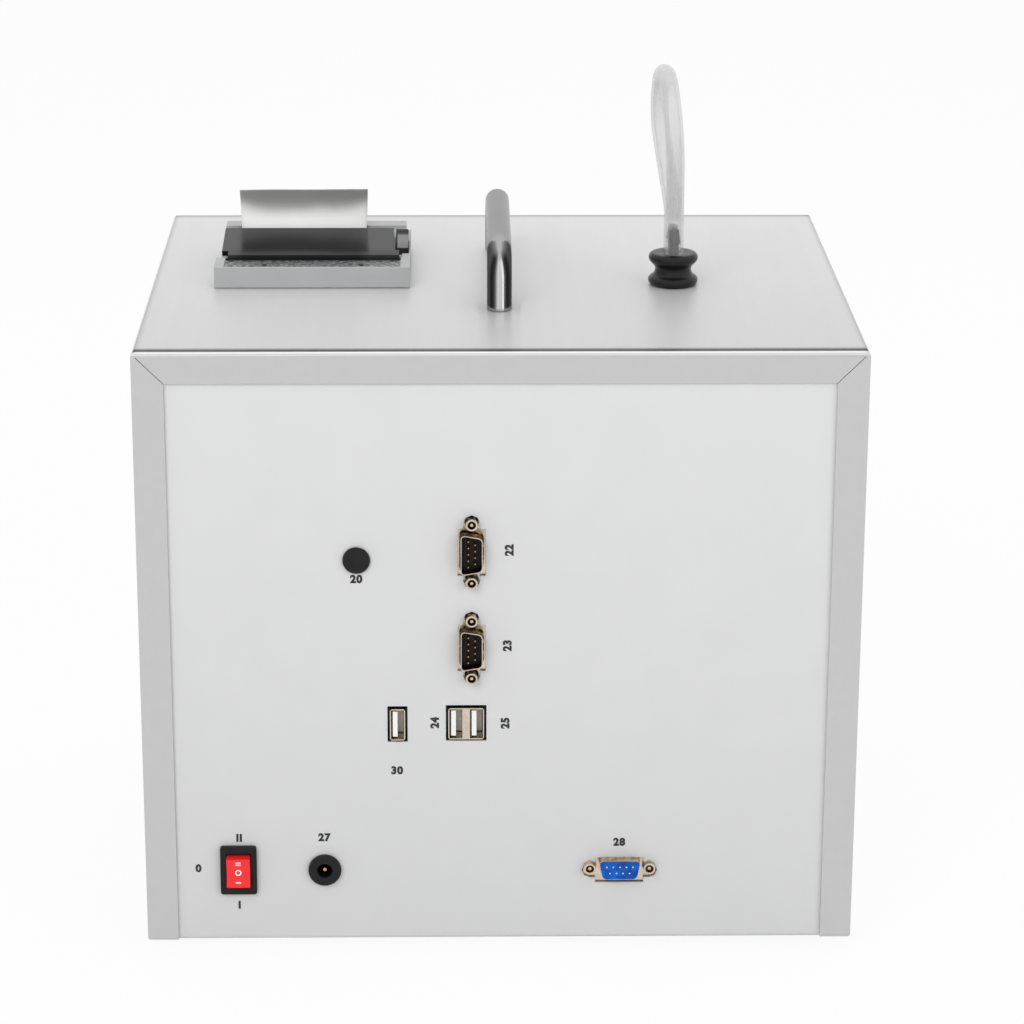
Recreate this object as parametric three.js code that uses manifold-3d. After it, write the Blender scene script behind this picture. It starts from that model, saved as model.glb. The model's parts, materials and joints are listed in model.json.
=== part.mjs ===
import * as THREE from 'three';
import { mergeVertices } from 'three/addons/utils/BufferGeometryUtils.js';
import Module from 'manifold-3d';

// Milk analyzer with a deck printer. Millimetres, +Z up, X across, the connector side faces -Y.

// Driving sizes
const WIDTH = 300;
const DEPTH = 246;
const HEIGHT = 260;
const SHEET = 1.2;
const BEND = 2;
const FLANGE = 13;
const FOOT_HEIGHT = 5;

// Clearances and counts shared by all pieces
const FIT = 0.3;
const OVERRUN = 4;
const HEX = 6;
const TINY = 6;
const BORE = 8;
const SMALL = 8;
const ROUND = 14;
const FINE = 20;

// Places that follow from the driving sizes
const UNDERSIDE = FOOT_HEIGHT;
const DECK = UNDERSIDE + HEIGHT;
const DECK_BELOW = DECK - SHEET;
const REAR = -DEPTH / 2;
const FRONT = DEPTH / 2;
const WALL = WIDTH / 2 - SHEET;
const UPRIGHT = DEPTH / 2 - SHEET - FIT;
const UPRIGHT_INNER = UPRIGHT - SHEET;
const FLOOR = UNDERSIDE + SHEET;
const TRAY_HALF = WALL - FIT;

const foot = { diameter: 16, chamfer: 1, inset: 26, stem: 6, bulb: 8, bulbHeight: 3, bore: 2.4 };
const tray = { lip: 16, headroom: 3, standoff: 5, standoffHeight: 6, standoffBore: 3 };
const screw = {
  shank: 3, head: 6, headHeight: 2, headCrown: 0.3, length: 8, inset: 30, rise: 9, bush: 6, bushLength: 4,
};
const handle = { bar: 10, spacing: 107, rise: 30, bend: 12, bolt: 5, grip: 14, head: 8.5, headHeight: 4 };

const bung = {
  inset: 73.5, y: 112.5, hole: 18, lip: 21.4, waist: 16, waistAt: 6.5, rise: 13, lipHeight: 3.4,
  collar: 21, plug: 9, flare: 1.6,
};
const hose = {
  outer: 8, barb: 5.2, stem: 4, bore: 2.4, barbLength: 5.4, tail: 3.2, seat: 5.4, lead: 14, steps: 12,
};
const loop = {
  spacing: 9.6, halfWidth: 25.5, bulge: 68, shoulder: 17, shoulderRise: 87, apex: 92, lean: 4.4, twist: 1.6,
  steps: 24,
};
const loopLeanShare = 0.8;
const routeShare = 0.25;
const barbLandShare = 0.7;
const paperCurlShare = 0.78;

const handleSteps = 20;
const handleLegs = [-1, 1].map((side) => (side * handle.spacing) / 2);
const screwCrownShare = 0.5;
const cover = { mitre: 0.4 };

// Printer, measured from its centre, the near face of its bezel and the deck
const printer = {
  inset: 69.8, y: 105.5, half: 42.3, ledge: 2, brim: 3, wellStart: 3, wellEnd: 68, depth: 33, shell: 1.6,
  bar: 1.6, barRise: 9.2, recess: 8, cheek: 4, cheekEnd: 18, notch: 1.4, notchX: 21, notchY: 7.5,
  wallRise: 7.7, rearStart: 60.6, end: 70, rearRise: 13.5,
};
const slopeShare = 0.11;
const paper = { leftGap: 6.9, rightGap: 12.1, thickness: 0.3, rise: 31, steps: 16 };
const roll = { y: 37, z: -14, diameter: 29, core: 12, bucket: 32, sideGap: 0.6 };
const lid = {
  y0: 18.5, y1: 55, z0: 8, thickness: 2, leftGap: 2.1, rightGap: 7.5, nearGap: 4.9, shoulder: 24.5, edge: 1,
  hingeY: 20.5, hingeZ: 7.3, barrel: 4.8, pin: 2.5, pinReach: 1.8, trough: 7.6, arm: 1.8, armWidth: 9,
};
const platen = {
  y: 50.5, z: 6.5, diameter: 8, shaft: 3, gear: 8.6, gearRoot: 6.8, gearWidth: 3.2, teeth: 16,
};
const toothRootShare = 0.3;
const toothTipShare = 0.15;
const head = { y: 55.4, thickness: 1.6, z0: 1, z1: 7.4, foot: 3.4 };
const tear = { y: 59.4, thickness: 0.8, z0: 11.4, z1: 14.4, tooth: 0.8, pitch: 2 };
const lever = {
  gap: 0.9, width: 5.5, y0: 27, y1: 49.4, pivotY: 30, pivotZ: 4.6, z: 0.6, top: 15,
  pin: 2.6, hub: 5, sweep: 4.2,
};
const printerX = printer.inset - WIDTH / 2;
const printerWall = printer.half - printer.ledge;
const printerWell = printer.half - printer.brim;
const printerRear = REAR + printer.y;

// Rear face pieces, measured up from the underside and across: from the middle, or inset from the nearer side
const portX = { display: -12, keyboard: -12, serial: 50.8 };
const portY = { display: 174.3, keyboard: 132.3, serial: 31.6 };
const portTurn = { display: 90, keyboard: 90, serial: 0 };
const dsub = {
  span: 20.5, windowHeight: 11.6, ear: 7, screws: 25,
  width: 16.7, height: 8.9, slant: 1.5, corner: 1.4, wall: 0.5, out: 5.4,
  plate: 31, plateHeight: 12.8, plateThickness: 0.8, jack: 5, jackOut: 4, jackBore: 2.6,
  block: 19, blockHeight: 11, recess: 4.6, pin: 1, pinPitch: 2.77, rowPitch: 2.84, pinOut: 3.6,
};
const usb = {
  single: { x: -43.05, y: 98.4, ports: 1 }, dual: { x: -14.3, y: 98.8, ports: 2 },
  port: 5.4, portHeight: 13, wall: 0.5, pitch: 8.6, chamfer: 0.7, margin: 1, out: 1, depth: 9, back: 1.6,
  tongue: 2, tongueHeight: 11.2, tongueSet: 0.7, tongueRecess: 0.8,
};
const rocker = {
  inset: 39.2, y: 32.8, width: 15.4, height: 21.8, rim: 2.2, corner: 1.2,
  body: 13, bodyHeight: 19.4, depth: 13, mouth: 10.6, mouthHeight: 15.4,
  peak: 5.4, shoulder: 3.2, valley: 3.9, base: 4, baseHalf: 3, waist: 0.5,
  pin: 2, pinReach: 0.8, blade: 4.8, bladeThickness: 0.8, bladeLength: 6,
};
const jack = {
  inset: 75.7, y: 32.5, flange: 14, flangeThickness: 2.4, barrel: 11, bore: 6.2, pin: 2, depth: 12, floor: 3,
  chamfer: 0.6, nut: 15.5, nutThickness: 2.4, tail: 3,
};
const aerial = { x: -59.6, y: 171.1, cap: 11.5, rise: 2.6, edge: 0.9, stem: 6, barb: 7.2, barbLength: 3 };
const ioBoard = { x0: -52, x1: 2, y0: 86, y1: 196, thickness: 1.6 };
const rockerX = rocker.inset - WIDTH / 2;
const jackX = jack.inset - WIDTH / 2;

// Inside pieces, measured from the cabinet's middle, or inset from its nearer wall
const mainBoard = { x0: -35, x1: 60, y0: -95, y1: 60, hole: 5, thickness: 1.6, partRise: 24 };
const boardPartShares = [
  [0.14, 0.22, 0.27, 0.19, 0.9],
  [0.56, 0.16, 0.19, 0.08, 0.4],
  [0.83, 0.19, 0.11, 0.15, 0.6],
  [0.43, 0.55, 0.29, 0.18, 0.12],
  [0.81, 0.74, 0.17, 0.1, 0.2],
];
const battery = {
  inset: 22, width: 65, depth: 151, height: 94, corner: 3, step: 1, lid: 4,
  tab: 6.3, tabRise: 6, tabThickness: 1,
};
const strap = { width: 20, thickness: 1.2, foot: 11 };
const pump = {
  z: 100, orbit: 14, roller: 10, rollerLength: 9, rollerPin: 3, rollers: 3, tube: 6, tubeBore: 3, wall: 4.4,
  depth: 14, plate: 3, disc: 35, discThickness: 1.5, hub: 13, shaft: 5, cheekRise: 9, web: 30, footLength: 38,
  footThickness: 3, tail: 30, gearbox: 37, gearboxLength: 22, motor: 28, motorLength: 36, collar: 12,
  steps: 38, tubeTurns: 8,
};
const sensor = {
  inset: 95, width: 44, depth: 40, z0: 120, z1: 190, nozzle: 8, corner: 3, lid: 5, lidGroove: 1,
};
const suction = {
  inset: 50, z: 95, tube: 5, bore: 2.4, inside: 18, out: 34, bend: 12, tip: 34,
  boss: 18, bossOut: 4, bossIn: 6, neck: 11, steps: 12,
};
const display = { z: 195, width: 98, height: 40, rim: 4, thickness: 1.5, module: 12, moduleRim: 8 };
const keypad = {
  z: 112, width: 96, height: 76, thickness: 0.8, corner: 3, columns: 4, rows: 4,
  pitchX: 21, pitchZ: 16, keyWidth: 15, keyHeight: 11, keyRise: 0.5, keyCorner: 2,
};

const bungX = WIDTH / 2 - bung.inset;
const sensorX = WIDTH / 2 - sensor.inset;
const suctionX = WIDTH / 2 - suction.inset;
const displayX = sensorX - sensor.width / 2 - FIT - display.rim - display.width / 2;
const batteryPlan = {
  x0: battery.inset - WIDTH / 2,
  x1: battery.inset - WIDTH / 2 + battery.width,
  y0: -battery.depth / 2,
  y1: battery.depth / 2,
};

// The pump stands under the near nipple, its tube's centre line in line with it
const squeeze = pump.orbit + pump.roller / 2 + FIT;
const tubeLine = squeeze + pump.tube / 2;
const pumpPlace = [bungX + tubeLine, REAR + bung.y - loop.spacing / 2];
const pumpFootLocal = {
  x0: -pump.web / 2,
  x1: pump.web / 2,
  y0: -pump.footLength,
  y1: pump.depth / 2,
  hole: 5,
};
const pumpFoot = {
  x0: pumpPlace[0] + pumpFootLocal.x0,
  x1: pumpPlace[0] + pumpFootLocal.x1,
  y0: pumpPlace[1] + pumpFootLocal.y0,
  y1: pumpPlace[1] + pumpFootLocal.y1,
};


const wasm = await Module();
wasm.setup();

// Solids, joins and cuts

function solidOf(geometry) {
  const bare = geometry.index ? geometry.toNonIndexed() : geometry.clone();
  bare.deleteAttribute('normal');
  bare.deleteAttribute('uv');
  const merged = mergeVertices(bare);
  const triangles = [];
  const index = merged.index.array;
  for (let i = 0; i < index.length; i += 3) {
    const [a, b, c] = [index[i], index[i + 1], index[i + 2]];
    if (a !== b && b !== c && c !== a) triangles.push(a, b, c);
  }
  const build = (triVerts) => new wasm.Manifold(new wasm.Mesh({
    numProp: 3,
    vertProperties: new Float32Array(merged.attributes.position.array),
    triVerts: new Uint32Array(triVerts),
  }));
  const solid = build(triangles);
  return solid.volume() > 0 ? solid : build(triangles.reverse());
}

function geometryOf(solid) {
  const mesh = solid.getMesh();
  const geometry = new THREE.BufferGeometry();
  const places = new Float32Array(mesh.numVert * 3);
  for (let i = 0; i < mesh.numVert; i += 1) {
    for (let j = 0; j < 3; j += 1) places[3 * i + j] = mesh.vertProperties[mesh.numProp * i + j];
  }
  geometry.setAttribute('position', new THREE.BufferAttribute(places, 3));
  geometry.setIndex(new THREE.BufferAttribute(new Uint32Array(mesh.triVerts), 1));
  geometry.computeVertexNormals();
  return geometry;
}

const join = (...solids) => solids.reduce((whole, next) => whole.add(next));
const cut = (solid, ...tools) => tools.reduce((rest, tool) => rest.subtract(tool), solid);
const common = (...solids) => solids.reduce((whole, next) => whole.intersect(next));

function box(x0, x1, y0, y1, z0, z1) {
  const geometry = new THREE.BoxGeometry(x1 - x0, y1 - y0, z1 - z0);
  geometry.translate((x0 + x1) / 2, (y0 + y1) / 2, (z0 + z1) / 2);
  return solidOf(geometry);
}

// A cylinder or cone along an axis, with its centre line at (a, b) in the other two directions
function rod(axis, diameter, from, to, a, b, sides = ROUND, endDiameter = diameter) {
  const geometry = new THREE.CylinderGeometry(endDiameter / 2, diameter / 2, to - from, sides);
  geometry.translate(0, (from + to) / 2, 0);
  if (axis === 'x') geometry.rotateZ(-Math.PI / 2);
  if (axis === 'z') geometry.rotateX(Math.PI / 2);
  const [x, y, z] = { x: [0, a, b], y: [a, 0, b], z: [a, b, 0] }[axis];
  geometry.translate(x, y, z);
  return solidOf(geometry);
}

// A turned piece round a vertical line, from [radius, height] points
function turned(profile, x = 0, y = 0, sides = ROUND) {
  const points = profile.map(([radius, height]) => new THREE.Vector2(radius, height));
  const geometry = new THREE.LatheGeometry(points, sides);
  geometry.rotateX(Math.PI / 2);
  geometry.translate(x, y, 0);
  return solidOf(geometry);
}

// A straight extrusion: along x of a (y, z) outline, along y of (x, z), along z of (x, y)
function extruded(axis, shape, from, to, curveSegments = 3) {
  const settings = { depth: to - from, bevelEnabled: false, curveSegments };
  const geometry = new THREE.ExtrudeGeometry(shape, settings);
  if (axis === 'x') {
    const turn = new THREE.Matrix4().makeBasis(
      new THREE.Vector3(0, 1, 0),
      new THREE.Vector3(0, 0, 1),
      new THREE.Vector3(1, 0, 0),
    );
    geometry.applyMatrix4(turn);
    geometry.translate(from, 0, 0);
  }
  if (axis === 'y') {
    geometry.rotateX(Math.PI / 2);
    geometry.translate(0, to, 0);
  }
  if (axis === 'z') geometry.translate(0, 0, from);
  return solidOf(geometry);
}

function outline(points) {
  return new THREE.Shape(points.map(([a, b]) => new THREE.Vector2(a, b)));
}

function roundedRectangle(x0, x1, y0, y1, radius) {
  const shape = new THREE.Shape();
  shape.moveTo(x0 + radius, y0);
  shape.lineTo(x1 - radius, y0);
  shape.absarc(x1 - radius, y0 + radius, radius, -Math.PI / 2, 0);
  shape.lineTo(x1, y1 - radius);
  shape.absarc(x1 - radius, y1 - radius, radius, 0, Math.PI / 2);
  shape.lineTo(x0 + radius, y1);
  shape.absarc(x0 + radius, y1 - radius, radius, Math.PI / 2, Math.PI);
  shape.lineTo(x0, y0 + radius);
  shape.absarc(x0 + radius, y0 + radius, radius, Math.PI, 1.5 * Math.PI);
  return shape;
}

function circle(diameter, sides) {
  const points = [];
  for (let i = 0; i < sides; i += 1) {
    const angle = (2 * Math.PI * i) / sides;
    points.push([(diameter / 2) * Math.cos(angle), (diameter / 2) * Math.sin(angle)]);
  }
  return outline(points);
}

function swept(curve, diameter, steps, sides = SMALL) {
  return solidOf(new THREE.ExtrudeGeometry(circle(diameter, sides), { steps, extrudePath: curve }));
}

// A hose route that leaves its start and meets its end straight, with both ends drawn on by an extra length
function hoseRoute(start, startWay, points, end, endWay, extra = 0) {
  const along = (place, way, length) => place.clone().addScaledVector(way, length);
  const bow = hose.lead + hose.outer / 2;
  return new THREE.CatmullRomCurve3([
    along(start, startWay, -extra), along(start, startWay, hose.lead), along(start, startWay, bow), ...points,
    along(end, endWay, -bow), along(end, endWay, -hose.lead), along(end, endWay, extra),
  ], false, 'centripetal');
}

// A hose along such a route, its bore wide enough for the barbs at its ends
function hoseSolid(start, startWay, points, end, endWay, steps) {
  const outer = swept(hoseRoute(start, startWay, points, end, endWay), hose.outer, steps, SMALL);
  const bore = (hose.barb + 2 * FIT) / Math.cos(Math.PI / BORE);
  return cut(outer, swept(hoseRoute(start, startWay, points, end, endWay, OVERRUN), bore, steps, BORE));
}

// A route of straight runs joined by arcs of one bend radius
function bentRoute(points, bend) {
  const route = new THREE.CurvePath();
  let last = points[0];
  for (let i = 1; i < points.length - 1; i += 1) {
    const before = points[i].clone().sub(points[i - 1]).normalize();
    const after = points[i + 1].clone().sub(points[i]).normalize();
    const setback = bend * Math.tan(before.angleTo(after) / 2);
    const start = points[i].clone().addScaledVector(before, -setback);
    const end = points[i].clone().addScaledVector(after, setback);
    route.add(new THREE.LineCurve3(last, start));
    route.add(new THREE.QuadraticBezierCurve3(start, points[i], end));
    last = end;
  }
  route.add(new THREE.LineCurve3(last, points[points.length - 1]));
  return route;
}

// The model

const analyzer = new THREE.Group();

const finish = (color, roughness, metalness = 0) => ({ color, roughness, metalness });
const finishes = {
  enamel: finish(0xe6e8ea, 0.5),
  zinc: finish(0xc9cccd, 0.45, 0.7),
  steel: finish(0xd5d5d2, 0.22, 1),
  nickel: finish(0xd8c7ae, 0.3, 1),
  gold: finish(0xd9b36a, 0.3, 1),
  blackPlastic: finish(0x1b1c1e, 0.5),
  glossBlack: finish(0x34373b, 0.2),
  greyPlastic: finish(0xb4b7ba, 0.55),
  whitePlastic: finish(0xeeeeea, 0.5),
  bluePlastic: finish(0x0b4fb3, 0.45),
  redPlastic: finish(0xf02424, 0.35),
  rubber: finish(0x1a1a1a, 0.85),
  silicone: finish(0xd9dcdc, 0.3),
  board: finish(0x1f6b3a, 0.5),
  glass: finish(0x28323a, 0.08),
  paper: finish(0xf4f4f1, 0.9),
};

function add(parent, name, solid, material) {
  const mesh = new THREE.Mesh(geometryOf(solid), new THREE.MeshStandardMaterial(finishes[material]));
  mesh.name = name;
  parent.add(mesh);
  return mesh;
}

// Case: a cover folded over the top and both sides, on a tray that carries both uprights

const screwRows = [REAR + screw.inset, FRONT - screw.inset];
const screwRise = UNDERSIDE + screw.rise;

function coverShell() {
  const half = WIDTH / 2;
  const outer = common(
    extruded('y', roundedRectangle(-half, half, UNDERSIDE, DECK, BEND), REAR, FRONT),
    extruded('x', roundedRectangle(REAR, FRONT, UNDERSIDE, DECK, BEND), -half, half),
  );
  const inner = box(-WALL, WALL, REAR + SHEET, FRONT - SHEET, UNDERSIDE - OVERRUN, DECK_BELOW);
  const window = half - FLANGE;
  const opening = box(-window, window, REAR - OVERRUN, FRONT + OVERRUN, UNDERSIDE - OVERRUN, DECK - FLANGE);
  const tools = [inner, opening];
  for (const side of [-1, 1]) {
    const [a, b] = [side * (half - BEND), DECK - BEND];
    const slit = cover.mitre / 2;
    const mitre = outline([
      [a - side * FLANGE, b - FLANGE - slit],
      [a + side * slit, b],
      [a - side * slit, b],
      [a - side * FLANGE, b - FLANGE + slit],
    ]);
    tools.push(extruded('y', mitre, REAR - OVERRUN, REAR + SHEET + OVERRUN));
    tools.push(extruded('y', mitre, FRONT - SHEET - OVERRUN, FRONT + OVERRUN));
    for (const y of screwRows) {
      const [from, to] = side > 0 ? [WALL - OVERRUN, half + OVERRUN] : [-half - OVERRUN, OVERRUN - WALL];
      tools.push(rod('x', screw.shank + 2 * FIT, from, to, y, screwRise, SMALL));
    }
  }
  const [z0, z1] = [DECK_BELOW - OVERRUN, DECK + OVERRUN];
  const [x0, x1] = [printerX - printerWell - FIT, printerX + printerWell + FIT];
  const [y0, y1] = [printerRear + printer.wellStart - FIT, printerRear + printer.wellEnd + FIT];
  tools.push(box(x0, x1, y0, y1, z0, z1));
  tools.push(rod('z', bung.hole, z0, z1, bungX, REAR + bung.y));
  for (const y of handleLegs) tools.push(rod('z', handle.bolt + 2 * FIT, z0, z1, 0, y, SMALL));
  return cut(outer, ...tools);
}

function baseTray() {
  const [far, near] = [UPRIGHT, -UPRIGHT];
  const top = DECK - SHEET - tray.headroom;
  const outer = new THREE.Shape();
  outer.moveTo(near, top);
  outer.lineTo(near, UNDERSIDE + BEND);
  outer.absarc(near + BEND, UNDERSIDE + BEND, BEND, Math.PI, 1.5 * Math.PI);
  outer.lineTo(far - BEND, UNDERSIDE);
  outer.absarc(far - BEND, UNDERSIDE + BEND, BEND, -Math.PI / 2, 0);
  outer.lineTo(far, top);
  outer.lineTo(UPRIGHT_INNER, top);
  outer.lineTo(UPRIGHT_INNER, FLOOR);
  outer.lineTo(-UPRIGHT_INNER, FLOOR);
  outer.lineTo(-UPRIGHT_INNER, top);
  let body = extruded('x', outer, -TRAY_HALF, TRAY_HALF);
  const lipEnd = UPRIGHT_INNER - 2 * BEND;
  const tools = [];
  for (const side of [-1, 1]) {
    const [x0, x1] = side > 0 ? [TRAY_HALF - SHEET, TRAY_HALF] : [-TRAY_HALF, SHEET - TRAY_HALF];
    body = join(body, box(x0, x1, -lipEnd, lipEnd, FLOOR - SHEET / 2, UNDERSIDE + tray.lip));
    const [from, to] = side > 0
      ? [x0 - screw.bushLength, x1 - SHEET / 2]
      : [x0 + SHEET / 2, x1 + screw.bushLength];
    for (const y of screwRows) {
      body = join(body, rod('x', screw.bush, from, to, y, screwRise, SMALL));
      const reach = OVERRUN + screw.bushLength;
      tools.push(rod('x', screw.shank + 2 * FIT, x0 - reach, x1 + reach, y, screwRise, SMALL));
    }
  }
  const standoffs = [...corners(mainBoard, mainBoard.hole), ...corners(pumpFoot, pumpFootLocal.hole)];
  for (const [x, y] of standoffs) {
    body = join(body, rod('z', tray.standoff, FLOOR - SHEET / 2, FLOOR + tray.standoffHeight, x, y, SMALL));
    tools.push(rod('z', tray.standoffBore, FLOOR, FLOOR + tray.standoffHeight + OVERRUN, x, y, TINY));
  }
  for (const [x, y] of footPlaces) {
    tools.push(rod('z', foot.stem + 2 * FIT, UNDERSIDE - OVERRUN, FLOOR + OVERRUN, x, y, SMALL));
  }
  return cut(body, ...tools, ...rearCutouts(), ...frontCutouts());
}

// The four corners of a rectangle, set in by a hole's distance from the edges
function corners(plate, inset) {
  const xs = [plate.x0 + inset, plate.x1 - inset];
  const ys = [plate.y0 + inset, plate.y1 - inset];
  return xs.flatMap((x) => ys.map((y) => [x, y]));
}

const footPlaces = corners({ x0: -WIDTH / 2, x1: WIDTH / 2, y0: REAR, y1: FRONT }, foot.inset);

function rubberFoot(x, y) {
  const r = foot.diameter / 2;
  const seat = UNDERSIDE - FIT;
  const above = FLOOR + FIT;
  return turned([
    [foot.bore / 2, 0], [r - foot.chamfer, 0], [r, foot.chamfer], [r, seat], [foot.stem / 2, seat],
    [foot.stem / 2, above], [foot.bulb / 2, above], [foot.stem / 2 - FIT, above + foot.bulbHeight],
    [foot.bore / 2, above + foot.bulbHeight], [foot.bore / 2, 0],
  ], x, y, SMALL);
}

function sideScrew(side, y) {
  const [shank, headHalf] = [screw.shank / 2, screw.head / 2];
  const face = WIDTH / 2 + FIT;
  const crown = face + screw.headHeight - screw.headCrown;
  const profile = [
    [0, face - screw.length],
    [shank, face - screw.length],
    [shank, face],
    [headHalf, face],
    [headHalf, crown - screw.headCrown],
    [headHalf * screwCrownShare, crown],
    [0, crown],
  ];
  const points = profile.map(([radius, height]) => new THREE.Vector2(radius, height));
  const geometry = new THREE.LatheGeometry(points, SMALL);
  geometry.rotateZ(-side * Math.PI / 2);
  geometry.translate(0, y, screwRise);
  return solidOf(geometry);
}

add(analyzer, 'cover_shell', coverShell(), 'enamel');
add(analyzer, 'base_tray', baseTray(), 'enamel');
footPlaces.forEach(([x, y], i) => add(analyzer, `foot_${i + 1}`, rubberFoot(x, y), 'rubber'));
screwRows.forEach((y, i) => {
  add(analyzer, `side_screw_left_${i + 1}`, sideScrew(-1, y), 'zinc');
  add(analyzer, `side_screw_right_${i + 1}`, sideScrew(1, y), 'zinc');
});

// Carrying handle: one bent bar, held by a bolt from below in each end

function handleBar() {
  const base = DECK + FIT;
  const top = DECK + handle.rise - handle.bar / 2;
  const [near, far] = handleLegs;
  const route = bentRoute([
    new THREE.Vector3(0, near, base), new THREE.Vector3(0, near, top),
    new THREE.Vector3(0, far, top), new THREE.Vector3(0, far, base),
  ], handle.bend);
  const bar = swept(route, handle.bar, handleSteps, ROUND);
  const [bore, boreTop] = [handle.bolt + 2 * FIT, base + handle.grip + FIT];
  return cut(bar, ...handleLegs.map((y) => rod('z', bore, base - OVERRUN, boreTop, 0, y, SMALL)));
}

function handleBolt(y) {
  const below = DECK_BELOW - FIT;
  return join(
    rod('z', handle.bolt, below - handle.headHeight / 2, DECK + handle.grip, 0, y, SMALL),
    rod('z', handle.head, below - handle.headHeight, below, 0, y, HEX),
  );
}

add(analyzer, 'handle_bar', handleBar(), 'steel');
handleLegs.forEach((y, i) => add(analyzer, `handle_bolt_${i + 1}`, handleBolt(y), 'zinc'));

// Rubber bung in the deck, with the two hose nipples that the loop joins

const nipplePlaces = [-1, 1].map((side) => REAR + bung.y + side * loop.spacing / 2);
const bungTop = DECK + bung.rise;
const hoseStart = bungTop + FIT;

function tubeBung() {
  const [lip, waist, plug, collar] = [bung.lip / 2, bung.waist / 2, bung.hole / 2 - FIT, bung.collar / 2];
  const seat = DECK + FIT;
  const below = DECK_BELOW - FIT;
  const y = REAR + bung.y;
  const round = bung.lipHeight / 4;
  const body = turned([
    [0, below - bung.plug],
    [plug - bung.flare, below - bung.plug],
    [collar - bung.flare, below - bung.flare],
    [collar, below - round],
    [collar - round, below],
    [plug, below],
    [plug, seat],
    [lip - round, seat],
    [lip, seat + round],
    [lip, seat + bung.lipHeight - round],
    [lip - round, seat + bung.lipHeight],
    [waist, DECK + bung.waistAt - FIT],
    [waist, DECK + bung.waistAt + FIT],
    [lip - round, bungTop - bung.lipHeight],
    [lip, bungTop - bung.lipHeight + round],
    [lip, bungTop - round],
    [lip - round, bungTop],
    [0, bungTop],
  ], bungX, y, FINE);
  const [z0, z1] = [below - bung.plug - OVERRUN, bungTop + OVERRUN];
  const bore = hose.stem + 2 * FIT;
  return cut(body, ...nipplePlaces.map((place) => rod('z', bore, z0, z1, bungX, place, SMALL)));
}

function hoseNipple(y) {
  const [stem, barb, bore] = [hose.stem / 2, hose.barb / 2, hose.bore / 2];
  const flare = hose.barbLength;
  const bottom = DECK_BELOW - bung.plug - hose.tail - flare;
  const seat = bungTop + hose.seat;
  return turned([
    [bore, bottom],
    [stem, bottom],
    [barb, bottom + flare / 2],
    [barb, bottom + flare * barbLandShare],
    [stem, bottom + flare],
    [stem, seat],
    [barb, seat],
    [barb, seat + flare / 2],
    [stem, seat + flare],
    [bore, seat + flare],
    [bore, bottom],
  ], bungX, y, SMALL);
}

// The loop leaves both nipples upright, bulges, and closes at the top, leaning a little to one side
function loopTube() {
  const y = REAR + bung.y;
  const strand = (side) => {
    const twist = side * loop.twist;
    const lean = loop.lean * loopLeanShare;
    return [
      new THREE.Vector3(bungX - lean - twist, y + side * loop.halfWidth, DECK + loop.bulge),
      new THREE.Vector3(bungX - loop.lean - twist / 2, y + side * loop.shoulder, DECK + loop.shoulderRise),
    ];
  };
  const apex = new THREE.Vector3(bungX - loop.lean, y, DECK + loop.apex);
  const [near, far] = nipplePlaces.map((place) => new THREE.Vector3(bungX, place, hoseStart));
  const up = new THREE.Vector3(0, 0, 1);
  const down = up.clone().negate();
  return hoseSolid(near, up, [...strand(-1), apex, ...strand(1).reverse()], far, down, loop.steps);
}

add(analyzer, 'tube_bung', tubeBung(), 'rubber');
nipplePlaces.forEach((y, i) => add(analyzer, `hose_nipple_${i + 1}`, hoseNipple(y), 'blackPlastic'));
add(analyzer, 'loop_tube', loopTube(), 'silicone');

// Printer in the deck: its frame is set at the bezel's near face, on the deck

const printerFrame = new THREE.Group();
printerFrame.position.set(printerX, printerRear, DECK);
analyzer.add(printerFrame);

const rollCentre = roll.z - (roll.bucket - roll.diameter) / 2 + FIT;
const slopeAt = (y) => (y - lid.y0) * slopeShare;
const lidLeft = lid.leftGap - printer.half;
const lidRight = printer.half - lid.rightGap;
const lidNear = printer.half - lid.nearGap;
const paper0 = lidLeft + paper.leftGap;
const paper1 = lidRight - paper.rightGap;
const armLeft = printer.shell + FIT - printerWell;
const armRight = lidRight - printer.shell - FIT;
const lever1 = printer.half - lever.gap;
const lever0 = lever1 - lever.width;

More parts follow.
